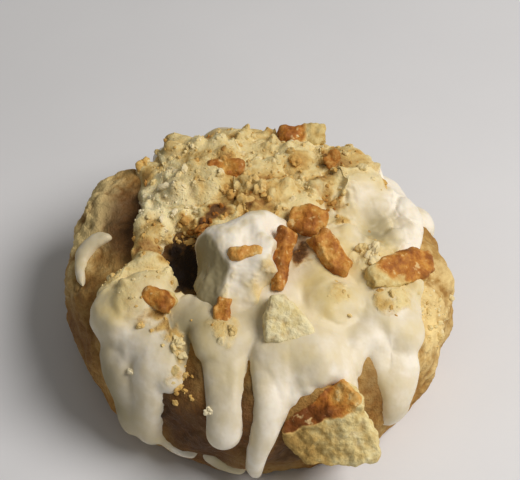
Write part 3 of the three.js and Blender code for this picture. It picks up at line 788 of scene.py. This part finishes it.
class Look:
    """A material that is built node by node."""

    def __init__(self, name):
        self.material = bpy.data.materials.new(name)
        self.material.use_nodes = True
        self.tree = self.material.node_tree
        self.shader = self.tree.nodes["Principled BSDF"]
        self.place = self.node("ShaderNodeTexCoord").outputs["Object"]

    def node(self, kind, inputs=None, **settings):
        made = self.tree.nodes.new(kind)
        for key, value in settings.items():
            setattr(made, key, value)
        for key, value in (inputs or {}).items():
            self.give(made.inputs[key], value)
        return made

    def give(self, socket, value):
        """Links an output to a socket, or sets the socket to a plain value."""
        if isinstance(value, bpy.types.NodeSocket):
            self.tree.links.new(value, socket)
        else:
            socket.default_value = value

    def value(self, name):
        """The number that each corner of the mesh has under this name."""
        return self.node("ShaderNodeAttribute", attribute_name=name).outputs["Fac"]

    def noise(self, size, detail=3.0, roughness=0.55):
        """Noise from 0 to 1 whose largest lumps have this size in millimetres."""
        inputs = {"Vector": self.place, "Scale": 1 / (size * MM), "Detail": detail, "Roughness": roughness}
        return self.node("ShaderNodeTexNoise", inputs).outputs["Fac"]

    def ramp(self, value, stops):
        """A colour for a value, between stops of (value, screen values of a colour)."""
        made = self.node("ShaderNodeValToRGB", {"Fac": value})
        steps = made.color_ramp.elements
        while len(steps) < len(stops):
            steps.new(0.5)
        for step, (position, colour) in zip(steps, stops):
            step.position = position
            step.color = linear(*colour)
        return made.outputs["Color"]

    def mix(self, share, start, end):
        """A colour between two others."""
        inputs = {"Factor": share, MIX_START: start, MIX_END: end}
        return self.node("ShaderNodeMix", inputs, data_type="RGBA").outputs[MIX_RESULT]

    def scale(self, value, low, high, to_low=0.0, to_high=1.0):
        """A value moved from one range to another, and kept inside it."""
        inputs = {"Value": value, "From Min": low, "From Max": high, "To Min": to_low, "To Max": to_high}
        return self.node("ShaderNodeMapRange", inputs).outputs["Result"]

    def total(self, *terms):
        """The sum of terms of (value, weight)."""
        result = 0.0
        for value, weight in terms:
            inputs = {0: value, 1: weight, 2: result}
            result = self.node("ShaderNodeMath", inputs, operation="MULTIPLY_ADD").outputs["Value"]
        return result

    def wavered(self, value, cloud, amount):
        """A value that noise moves up and down by this amount."""
        return self.total((value, 1), (self.scale(cloud, *NOISE_RANGE, -amount, amount), 1))

    def bump(self, height, depth):
        """Bumps of this depth in millimetres, for a height from 0 to 1."""
        return self.node("ShaderNodeBump", {"Height": height, "Distance": depth * MM}).outputs["Normal"]

    def finish(self, inputs):
        for key, value in inputs.items():
            self.give(self.shader.inputs[key], value)
        return self.material


def dough_look():
    look = Look("dough_look")
    grain = look.noise(1.6, 4.0, 0.6)
    # The pale value lightens the crust: golden at the right edge, painted light on the left shoulder
    baked = look.ramp(look.total((look.noise(10, 2.0), 0.55), (grain, 0.45), (look.value("pale"), 0.25)), [
        (0.34, (146, 102, 48)), (0.46, (170, 127, 66)), (0.58, (193, 155, 90)), (0.76, (228, 199, 136)),
        (0.98, (248, 222, 156)),
    ])
    # Browner in the crust's hollows: painted shade
    hollow_shade = look.mix(0.65, baked, linear(128, 84, 38))
    colour = look.mix(look.scale(look.value("relief"), 0.15, 0.55), hollow_shade, baked)
    # Wet dough is darker and glossier; its darkening is also painted shade in hollows and gaps
    wet_and_shade = look.mix(0.85, colour, linear(96, 58, 26))
    colour = look.mix(look.value("wet_and_shade"), colour, wet_and_shade)
    # Near black where the dark places lie: painted deep shade
    colour = look.mix(look.value("painted_shade"), colour, linear(34, 22, 12))
    return look.finish({
        "Base Color": colour,
        "Roughness": look.scale(look.value("wet_and_shade"), 0.0, 1.0, 0.85, 0.5),
        "Specular IOR Level": 0.2,
        "Normal": look.bump(look.total((grain, 1), (look.noise(0.5, 3.0), 1)), 0.35),
    })


def icing_look():
    look = Look("icing_look")
    heaped = look.value("heaped")
    # The stain value yellows the cream, and in places it is painted light and shade
    cream = look.ramp(look.wavered(look.value("stain_and_painted_light"), look.noise(5, 3.0), 0.25), [
        (0.0, (246, 238, 220)), (0.3, (231, 219, 190)), (0.6, (226, 211, 170)), (0.95, (220, 199, 140)),
    ])
    # The thin colour shows the dough through thin icing, and is painted shade where the icing lies in shade
    cream = look.mix(look.value("thin_and_shade"), cream, linear(160, 148, 112))
    crumbs = look.ramp(look.wavered(look.value("tint"), look.noise(1.3, 3.0, 0.6), 0.1), [
        (0.0, (254, 239, 188)), (0.36, (238, 216, 154)), (0.62, (217, 181, 107)), (0.88, (164, 116, 58)),
        (1.0, (108, 73, 40)),
    ])
    # Darker crumbs in the creases of the relief: painted shade
    crease_shade = look.scale(look.value("relief"), 0.0, 0.45, 0.3, 0.0)
    crumbs = look.mix(crease_shade, crumbs, linear(164, 124, 66))
    crumbled = look.total((look.noise(0.9, 4.0, 0.7), 3.2))
    return look.finish({
        "Base Color": look.mix(heaped, cream, crumbs),
        "Roughness": look.scale(heaped, 0.0, 1.0, 0.45, 0.85),
        "Specular IOR Level": 0.3,
        "Subsurface Weight": 0.15,
        "Subsurface Radius": (1.0, 0.8, 0.5),
        "Subsurface Scale": 1.5 * MM,
        "Normal": look.bump(look.total((look.noise(2.6, 2.0), 1), (crumbled, heaped)), 0.18),
    })


def wafer_look():
    look = Look("wafer_look")
    crust = look.value("crust")
    grain = look.noise(1.1, 4.0, 0.6)
    edge = look.wavered(crust, grain, 0.1)
    # The brown value darkens the crust, and on the front wafer's lower left it is painted shade
    toasted_and_shaded = look.ramp(look.total((look.noise(3.0, 4.0, 0.65), 1), (look.value("brown_and_shade"), -1)), [
        (0.24, (124, 70, 26)), (0.4, (168, 102, 38)), (0.52, (198, 134, 56)), (0.64, (218, 166, 86)),
        (0.78, (234, 196, 124)),
    ])
    # Lighter where the surface stands out from its blunter form, on raised edges
    raised_edges = look.scale(look.value("edge"), 0.05, 0.4, 0.0, 0.7)
    toasted_and_shaded = look.mix(raised_edges, toasted_and_shaded, linear(222, 176, 100))
    speck = look.scale(look.noise(1.5, 2.0), 0.6, 0.7, 0.0, 0.7)
    toasted_and_shaded = look.mix(speck, toasted_and_shaded, linear(230, 202, 144))
    # The crumb is less pale on the front wafer's lower left: painted shade
    crumb = look.ramp(look.total((look.noise(2.6, 4.0, 0.65), 1), (look.value("pale"), 0.2)), [
        (0.1, (152, 122, 66)), (0.28, (198, 166, 98)), (0.42, (216, 192, 128)), (0.56, (229, 211, 152)),
        (0.72, (240, 228, 182)),
    ])
    # Darker in the crumb's pores: painted shade
    pores = look.scale(look.value("relief"), 0.05, 0.5, 0.45, 0.0)
    crumb = look.mix(pores, crumb, linear(184, 146, 80))
    rim = look.ramp(edge, [(0.15, (222, 190, 122)), (0.6, (204, 150, 74))])
    colour = look.mix(look.scale(edge, 0.05, 0.3), crumb, rim)
    colour = look.mix(look.scale(edge, 0.3, 0.65), colour, toasted_and_shaded)
    return look.finish({
        "Base Color": colour,
        "Roughness": look.scale(crust, 0.1, 0.9, 0.85, 0.5),
        "Specular IOR Level": 0.22,
        "Normal": look.bump(look.total((grain, 1), (look.noise(0.4, 3.0), 1)), 0.2),
    })


def crumb_look():
    look = Look("crumb_look")
    grain = look.noise(0.7, 3.0, 0.6)
    colour = look.ramp(look.wavered(look.value("tint"), grain, 0.1), [
        (0.05, (238, 226, 190)), (0.35, (228, 207, 148)), (0.62, (212, 173, 98)), (0.9, (168, 108, 44)),
    ])
    return look.finish({
        "Base Color": colour,
        "Roughness": look.scale(grain, *NOISE_RANGE, 0.75, 0.95),
        "Specular IOR Level": 0.2,
        "Normal": look.bump(grain, 0.12),
    })


def build_dough(look):
    """The dough's crust: lobes, packed domes and grain. Returns what crumbs need to lie on it."""
    sphere, faces = geodesic(DOUGH_STEPS)
    theta, path = on_dough(sphere)
    base = dough_points(theta, path)
    normals = normals_of(dough_points, theta, np.minimum(path, FOOT_PATH - 2 * PATH_STEP))
    lobes = rough(base, "lobes")
    domes = packed(base, "domes") - DOME_MIDDLE
    grain = rough(base, "grain")
    crumbly = eased(rough(base, "crumble"), "crumbly")
    crumbly = weighted("crumbly", 1, crumbly, amounts(DOUGH_CRUSTY, base))
    relief = weighted("crust", lobes, crumbly * domes, grain)
    pale = amounts(DOUGH_PALE_AND_LIT, base) * weighted("pale_places", 1, lobes, grain)
    # The wet darkening and the dark places are painted shade, and the pale places are partly painted light
    values = {
        "relief": np.clip(weighted("crust_share", 1, relief), 0, 1),
        "wet_and_shade": np.clip(weighted("wet_and_shade", amounts(DOUGH_WET_AND_SHADE, base), lobes), 0, 1),
        "painted_shade": np.clip(amounts(DOUGH_PAINTED_SHADE, base) * weighted("painted_shade", 1, lobes, grain), 0, 1),
        "pale": np.clip(weighted("pale", pale, lobes), 0, PALE_MOST),
    }
    points = base + normals * (relief * eased(FOOT_PATH - path, "crust_foot"))[:, None]
    make_piece("dough_crust", points, faces, look, ["dough"], values)
    return SimpleNamespace(points=points, faces=faces, tint=np.where(points[:, 0] < 0, *SIDE_TINTS))


def crumb_lift(points, normals, crumbs):
    """How far the large crumbs lift the icing's surface. Each is a part of an uneven ball round its middle,
    with icing and fine crumbs filling in round it."""
    lift = np.zeros(len(points))
    for at, size in crumbs:
        near = np.flatnonzero(((points - at) ** 2).sum(axis=1) < (CRUMB_NEAR * size) ** 2)
        way = at - points[near]
        along = (way * normals[near]).sum(axis=1)
        reach = size * (1 + CRUMB_UNEVENNESS * rough(points[near], "crumb"))
        beside = reach**2 - (way**2).sum(axis=1) + along**2
        rise = CRUMB_SHOWING * (along + np.sqrt(np.maximum(beside, 0)))
        lift[near] = np.maximum(lift[near], rise * ease(beside, 0, CRUMB_FILLING * size**2))
    return lift


def patch_fields(patches, points):
    """The cover and the tint of crumb patches at each point."""
    angles, paths, radii, tints = np.array(patches, float).T
    cover = np.zeros(len(points))
    tint = np.zeros(len(points))
    for centre, radius, own in zip(dough_points(np.radians(angles), paths), radii, tints):
        share = np.exp(-((points - centre) ** 2).sum(axis=1) / radius**2)
        tint = np.where(share > cover, own, tint)
        cover = np.maximum(cover, share)
    return cover, tint


def build_icing(look):
    """The sheet with its drips. Its crumb mass is a heap of soft lumps of several sizes. Returns its surface
    with and without relief, and what crumbs need to lie on it."""
    sphere, faces = geodesic(SHEET_STEPS)
    theta, path = on_dough(sphere)
    path = np.minimum(path, FOOT_PATH - PATH_STEP)
    base = dough_points(theta, path)
    height = icing_height(theta, path, base)
    kept = faces[(height[faces] > -SHEET_TUCK).any(axis=1)]
    used, where = np.unique(kept, return_inverse=True)
    faces = where.reshape(-1, 3)
    theta, path, base, height = (part[used] for part in (theta, path, base, height))
    normals = normals_of(dough_points, theta, path)
    height = height + crumb_lift(base + normals * height[:, None], normals, large_crumb_places())
    plain = base + normals * height[:, None]

    body = eased(height, "body")
    turned_away = np.abs(degrees_from(LUMPY_ANGLE, theta))
    calm = np.clip(amounts(CALM_PLACES, base), 0, 1)
    lumpy = (1 - eased(turned_away, "lumpy_turn")) * (1 - eased(path, "lumpy_path")) * body * (1 - calm)
    clumps = rough(base, "clumps")
    crags = billowed(base, "crags") - CRAG_MIDDLE
    knobs = billowed(base, "knobs") - KNOB_MIDDLE
    grains = rough(base, "grains")
    cover = crumb_cover(theta, path)
    patch, patch_tint = patch_fields(CRUMB_PATCHES_AND_SHADOWS, base)
    patch = patch + PATCH_WANDER * rough(base, "patch") * eased(patch, "patch_core")
    patch = eased(patch, "patch") * body
    heaped = eased(weighted("heaped", cover, clumps), "heaped") * eased(height, "heap_height")
    heaped = np.maximum(heaped, patch)

    rubble = weighted("rubble", clumps, crags, knobs, grains)
    cream = weighted("cream", clumps, rough(base, "cream"))
    flat = weighted("flat", 1, eased(path, "cream_path"))
    lumps = weighted("lumps", flat, lumpy, amounts(CREAM_LUMPS, base))
    relief = np.maximum(lumpy, PATCH_RUBBLE * patch) * rubble
    relief = relief + (1 - heaped) * lumps * cream - amounts(CREASES, base)
    share = np.clip(weighted("share", 1, crags, knobs, grains), 0, 1)
    # Crumbs are paler on the crests of the relief and more golden in its creases: painted light and shade
    tint = weighted("tint", 1, rough(base, "clouds"), rough(base, "specks"), share - 0.5)
    tint = tint + amounts(CRUMB_TINTS_AND_PAINTED_LIGHT, base)
    # The stain also paints light and shade in places
    stain_and_painted_light = weighted("stain_and_painted_light", 1, cover, clumps, lumpy, amounts(CREAM_STAINS_AND_PAINTED_LIGHT, base))
    values = {
        "heaped": heaped,
        "relief": share,
        "tint": np.clip(tint + patch * (patch_tint - tint), 0, 1),
        "stain_and_painted_light": np.clip(stain_and_painted_light, 0, 1),
        "thin_and_shade": np.clip(amounts(ICING_THIN_AND_SHADE, base), 0, 1),
    }
    points = smoothed(plain + normals * (body * relief)[:, None], faces, SHEET_SMOOTHING)
    make_piece("icing_sheet", points, faces, look, ["icing"], values)
    return SimpleNamespace(
        points=points, plain=plain, faces=faces, theta=theta, path=path, heaped=heaped, tint=values["tint"]
    )


def tree_of(points):
    """A tree that finds the nearest of these points."""
    tree = kdtree.KDTree(len(points))
    for index, point in enumerate(points):
        tree.insert(point, index)
    tree.balance()
    return tree


def heights_under(points, surface):
    """The height of a surface's plain form under, or over, each point: that of its nearest corner in plan."""
    tree = tree_of([(x, y, 0) for x, y, _ in surface.plain.tolist()])
    nearest = [tree.find((x, y, 0))[1] for x, y, _ in points.tolist()]
    return surface.plain[nearest, 2]


def ways_to_node(points, node):
    """The distance from each point to the nearest corner of a CAD node."""
    tree = tree_of([corner.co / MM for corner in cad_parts[node].data.vertices])
    return np.array([tree.find(point)[2] for point in points.tolist()])


def build_mound(look, icing):
    """The coated wafer. Its front flares out where it meets the sheet, and it draws back from the wafer that
    stands against it."""
    sphere, faces = geodesic(MOUND_STEPS)
    points = smoothed(mound_points(sphere), faces, MOUND_SMOOTHING)
    above = np.maximum(points[:, 2] - heights_under(points, icing), 0)
    outward = unit((points - MOUND_AT) * (1, 1, 0))
    front = eased(-outward[:, 1], "flare_front") * (1 - eased(outward[:, 0], "flare_right"))
    flare = FLARE_REACH * front * np.exp(-((above / FLARE_HEIGHT) ** FLARE_POWER))
    points = smoothed(points + outward * flare[:, None], faces, FLARE_SMOOTHING)
    normals = corner_normals(points, faces)
    swells = rough(points, "swells")
    clots = rough(points, "clots")
    back = DRAW_BACK * (1 - eased(ways_to_node(points, LEANING_WAFER), "draw_back"))
    points = points + normals * weighted("mound", swells, clots, back)[:, None]
    left_way, front_way = unit(np.array(MOUND_FACES[:2])[:, :3])
    facing = eased(normals @ front_way, "facing")
    foot = np.exp(-((above / FOOT_FADE) ** 2))
    crumbs = eased(weighted("mound_crumbs", clots, swells), "mound_crumbs")
    values = {
        "heaped": MOUND_CRUMBS * facing * crumbs,
        "relief": np.full(len(points), MOUND_SHARE),
        "tint": np.clip(weighted("mound_tint", 1, swells), 0, 1),
        "stain_and_painted_light": np.clip(weighted("mound_stain", 1, facing, foot, swells, clots), 0, 1),
        # Faces turned to the left get the thin colour: thin icing over the wafer, and painted shade on the
        # mound's shaded side
        "thin_and_shade": eased(normals @ left_way, "shaded"),
    }
    make_piece("coated_mound", points, faces, look, ["coated_wafer"], values)


def build_curl(look):
    """A bar along the curl's run: rings of points, which shrink to a point at both ends."""
    turn = np.linspace(0, math.pi, CURL_RINGS)
    centres, ups, halves = run_line(CURL, (1 - np.cos(turn)) / 2)
    across = unit(np.cross(unit(np.gradient(centres, axis=0)), ups))
    fullness = np.minimum(np.sin(turn) * CURL_FULLNESS, 1)
    rises = CURL_HEIGHT * fullness * np.sqrt(halves / halves.max())
    angle = np.arange(CURL_SIDES) / CURL_SIDES * TAU
    points = (
        centres[:, None]
        + across[:, None] * (np.cos(angle)[None] * (halves * fullness)[:, None])[..., None]
        + ups[:, None] * (np.sin(angle)[None] * rises[:, None])[..., None]
    ).reshape(-1, 3)
    outward = unit(points - np.repeat(centres, CURL_SIDES, axis=0))
    points += outward * (CURL_UNEVENNESS * rough(points, "curl"))[:, None]
    faces = []
    for ring in range(CURL_RINGS - 1):
        here = ring * CURL_SIDES
        beyond = here + CURL_SIDES
        for side in range(CURL_SIDES):
            after = (side + 1) % CURL_SIDES
            faces.append((here + side, here + after, beyond + after, beyond + side))
    values = {key: np.full(len(points), number) for key, number in CURL_VALUES.items()}
    make_piece("icing_curl_soft", points, faces, look, ["icing_curl"], values)


def finer_mesh(node):
    """Points, faces and outward directions of a CAD node, remade with small even faces and softened, and how
    far each point stands out from a much blunter form."""
    copy = add_object("finer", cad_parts[node].data.copy())
    remesh = copy.modifiers.new("remesh", "REMESH")
    remesh.mode = "VOXEL"
    remesh.voxel_size = WAFER_VOXEL * MM
    smooth = copy.modifiers.new("smooth", "SMOOTH")
    forms = []
    for rounds in (WAFER_BLUNTING, WAFER_SMOOTHING):
        smooth.iterations = rounds
        made = copy.evaluated_get(bpy.context.evaluated_depsgraph_get()).to_mesh()
        forms.append(np.array([corner.co[:] for corner in made.vertices]) / MM)
    normals = np.array([corner.normal[:] for corner in made.vertices])
    faces = [tuple(face.vertices) for face in made.polygons]
    source = copy.data
    bpy.data.objects.remove(copy)
    bpy.data.meshes.remove(source)
    blunt, points = forms
    return points, faces, normals, ((points - blunt) * normals).sum(axis=1)


def build_wafer(node, shift, look):
    """A broken wafer: a blistered brown crust on one side, and open crumb where it broke."""
    points, faces, normals, edge = finer_mesh(node)
    way, depth = WAFER_CRUSTS[node]
    along = points @ unit(np.array(way))
    wander = rough(points, "wander", shift)
    pores = billowed(points, "pores", shift) - CRAG_MIDDLE
    flakes = rough(points, "flakes", shift)
    sunk = along.max() - along + CRUST_WANDER * wander
    crust = 1 - ease(sunk, CRUST_DEPTHS[0] * depth, CRUST_DEPTHS[1] * depth)
    crumb = weighted("broken", pores, wander, flakes)
    blisters = weighted("blisters", wander, flakes)
    relief = (crumb * (1 - crust) + blisters * crust) * WAFER_ROUGHNESS.get(node, 1.0)
    # Towards the front wafer's lower left, browner crust and darker crumb: partly toast, partly painted shade
    toast_and_shade_side = (points - points.mean(axis=0)) @ np.array(WAFER_BROWNING_AND_SHADE.get(node, (0.0, 0.0, 0.0)))
    toast_and_shade_side = toast_and_shade_side / max(np.abs(toast_and_shade_side).max(), LEAST_STEP)
    values = {
        "crust": crust,
        "relief": np.clip(weighted("pores", 1, pores, flakes), 0, 1),
        "edge": edge,
        "brown_and_shade": weighted("brown_and_shade", toast_and_shade_side, wander, WAFER_BROWN.get(node, 0.0)),
        "pale": weighted("wafer_pale", WAFER_PALENESS.get(node, 0.0), eased(toast_and_shade_side, "shaded_crumb")),
    }
    make_piece(node + "_broken", points + normals * relief[:, None], faces, look, [node], values)


def turned(angles):
    """The turning matrix for angles about x, y and z."""
    (cx, cy, cz), (sx, sy, sz) = np.cos(angles), np.sin(angles)
    about_x = np.array([[1, 0, 0], [0, cx, -sx], [0, sx, cx]])
    about_y = np.array([[cy, 0, sy], [0, 1, 0], [-sy, 0, cy]])
    about_z = np.array([[cz, -sz, 0], [sz, cz, 0], [0, 0, 1]])
    return about_x @ about_y @ about_z


def uneven_stones(count, steps, unevenness):
    """A few uneven crumbs of about unit radius: spheres with lumps and hollows."""
    sphere, faces = geodesic(steps)
    made = []
    for index in range(count):
        lumps = rough(sphere, "stone", STONE_SHIFT_STEP * index)
        made.append(sphere * (1 + unevenness * lumps)[:, None])
    return made, faces


def large_crumb_places():
    """Places and sizes of the crumbs in the icing's solid, from the same draws."""
    draw = stream(CRUMB_SEED)
    placed = []
    for _ in range(CRUMB_TRIES):
        if len(placed) == CRUMB_COUNT:
            break
        theta = np.array([TAU * draw()])
        path = np.array([CRUMB_REACH * math.sqrt(draw())])
        size = CRUMB_RADIUS[0] + (CRUMB_RADIUS[1] - CRUMB_RADIUS[0]) * draw() ** 2
        for _ in range(CRUMB_SHAPE_DRAWS):
            draw()
        cover = crumb_cover(theta, path)[0]
        if draw() > cover or cover < CRUMB_THINNEST:
            continue
        base = dough_points(theta, path)
        height = sheet_height(theta, path, base)[0]
        if height < CRUMB_SEAT * ICING_THICKNESS:
            continue
        at = base[0] + normals_of(dough_points, theta, path)[0] * (height + CRUMB_RISE * size)
        if any(np.linalg.norm(other[0] - at) < CRUMB_SPACING for other in placed):
            continue
        placed.append((at, size))
    return placed


def join_stones(name, placed, tints, shapes, faces, look):
    """One piece from many stones, each with a tint and with a place, a size, a squash and a turn."""
    points = []
    for index, (at, size, squash, turn) in enumerate(placed):
        shape = shapes[index % len(shapes)]
        points.append((shape * (squash * size)) @ turn.T + at)
    each = len(shapes[0])
    offsets = np.arange(len(placed)) * each
    all_faces = (faces[None] + offsets[:, None, None]).reshape(-1, 3)
    values = {"tint": np.repeat(tints, each)}
    make_piece(name, np.concatenate(points), all_faces, look, (), values, smooth=False)


def scatter(surface, density, count, sizes, chance):
    """Stones strewn over a surface where the density of its corners asks for them, and the tint there."""
    corners = surface.points[surface.faces]
    across = np.cross(corners[:, 1] - corners[:, 0], corners[:, 2] - corners[:, 0])
    weight = np.linalg.norm(across, axis=1) * density[surface.faces].mean(axis=1)
    chosen = chance.choice(len(weight), count, p=weight / weight.sum())
    shares = chance.dirichlet((1, 1, 1), count)
    spots = np.einsum("nk,nkc->nc", shares, corners[chosen])
    placed = []
    for spot, up in zip(spots, unit(across)[chosen]):
        size = sizes[0] + (sizes[1] - sizes[0]) * chance.random() ** 2
        squash = chance.uniform(*STREWN_SQUASH, 3)
        rise = chance.uniform(*STREWN_RISE)
        placed.append((spot + up * rise * size, size, squash, turned(chance.uniform(0, TAU, 3))))
    return placed, surface.tint[surface.faces[chosen, 0]]


def chip_places(icing, chance):
    """The single larger crumbs, each on the icing's nearest corner."""
    placed = []
    for angle, path, size, _ in CHIPS:
        around = np.radians(degrees_from(angle, icing.theta)) * icing.path
        nearest = np.hypot(around, icing.path - path).argmin()
        squash = chance.uniform(*CHIP_SQUASH, 3)
        placed.append((icing.points[nearest], size, squash, turned(chance.uniform(0, TAU, 3))))
    return placed


def strew(icing, dough, counts, sizes, chance):
    """Crumbs of one size over the icing's crumb mass and, where they gather, over the dough, with tints."""
    on_icing = icing.heaped + amounts(ICING_GATHERINGS, icing.points)
    on_side = amounts(DOUGH_GATHERINGS, dough.points) * eased(dough.points[:, 2], "gathering")
    placed, tints = scatter(icing, on_icing, counts[0], sizes, chance)
    more_placed, more_tints = scatter(dough, on_side, counts[1], sizes, chance)
    tints = np.concatenate([tints, more_tints])
    return placed + more_placed, np.clip(tints + chance.normal(*STREWN_TINT, len(tints)), 0, 1)


def build_crumbs(look, icing, dough):
    chance = np.random.default_rng(STREWN_SEED)
    chips = chip_places(icing, chance)
    join_stones("crumbs_single", chips, np.array(CHIPS)[:, 3], *uneven_stones(*CHIP_STONES), look)
    for name, counts, sizes, stones in STREWN_CRUMBS:
        placed, tints = strew(icing, dough, counts, sizes, chance)
        join_stones(name, placed, tints, *uneven_stones(*stones), look)


def aim(thing, place, back):
    """Puts a light or a camera at a place in metres, to look against the way back."""
    thing.location = place
    thing.rotation_mode = "QUATERNION"
    thing.rotation_quaternion = (-back).to_track_quat("-Z", "Y")


def add_key_light():
    turn = math.radians(KEY_AZIMUTH)
    rise = math.radians(KEY_ELEVATION)
    way = Vector((math.cos(turn) * math.cos(rise), math.sin(turn) * math.cos(rise), math.sin(rise)))
    data = bpy.data.lights.new("key", "AREA")
    data.shape = "ELLIPSE"
    data.size = KEY_WIDTH
    data.size_y = KEY_HEIGHT
    data.energy = KEY_ENERGY
    data.color = KEY_COLOUR
    aim(add_object("key", data), KEY_DISTANCE * way, way)


def add_floor():
    look = Look("floor_look")
    colour = look.ramp(look.noise(60, 3.0), [(0.3, (226, 227, 229)), (0.7, (230, 231, 233))])
    normal = look.bump(look.noise(1.5), 0.02)
    mesh = bpy.data.meshes.new("floor")
    corners = [(x * FLOOR_REACH, y * FLOOR_REACH, 0) for x, y in ((-1, -1), (1, -1), (1, 1), (-1, 1))]
    mesh.from_pydata(corners, [], [(0, 1, 2, 3)])
    mesh.materials.append(look.finish({"Base Color": colour, "Roughness": 0.6, "Normal": normal}))
    floor = add_object("floor", mesh)


def build_stage():
    """The floor, the lights and the photograph's camera."""
    add_floor()
    add_key_light()
    world = bpy.data.worlds.new("studio")
    world.use_nodes = True
    sky = world.node_tree.nodes["Background"].inputs
    sky["Color"].default_value = WORLD_COLOUR
    sky["Strength"].default_value = WORLD_STRENGTH
    bpy.context.scene.world = world
    bpy.context.scene.view_settings.view_transform = "Standard"

    rise = math.radians(CAMERA_ELEVATION)
    back = Vector((0, -math.cos(rise), math.sin(rise)))
    data = bpy.data.cameras.new("camera")
    data.sensor_width = SENSOR_WIDTH
    data.lens = CAMERA_SCALE * CAMERA_DISTANCE / IMAGE_WIDTH * SENSOR_WIDTH
    data.shift_x = (IMAGE_WIDTH / 2 - TARGET_PIXEL[0]) / IMAGE_WIDTH
    data.shift_y = (TARGET_PIXEL[1] - IMAGE_HEIGHT / 2) / IMAGE_WIDTH
    data.clip_start = CAMERA_NEAR
    camera = add_object("camera", data)
    aim(camera, (Vector(CAMERA_TARGET) + back * CAMERA_DISTANCE) * MM, back)
    bpy.context.scene.camera = camera


for stray in [thing for thing in bpy.context.scene.objects if thing.type in ("CAMERA", "LIGHT")]:
    bpy.data.objects.remove(stray)

noise.seed_set(NOISE_SEED)
icing_material = icing_look()
wafer_material = wafer_look()
dough_surface = build_dough(dough_look())
icing_surface = build_icing(icing_material)
build_mound(icing_material, icing_surface)
build_curl(icing_material)
for index, wafer in enumerate(WAFER_CRUSTS):
    build_wafer(wafer, WAFER_SHIFT + WAFER_SHIFT_STEP * index, wafer_material)
build_crumbs(crumb_look(), icing_surface, dough_surface)
build_stage()
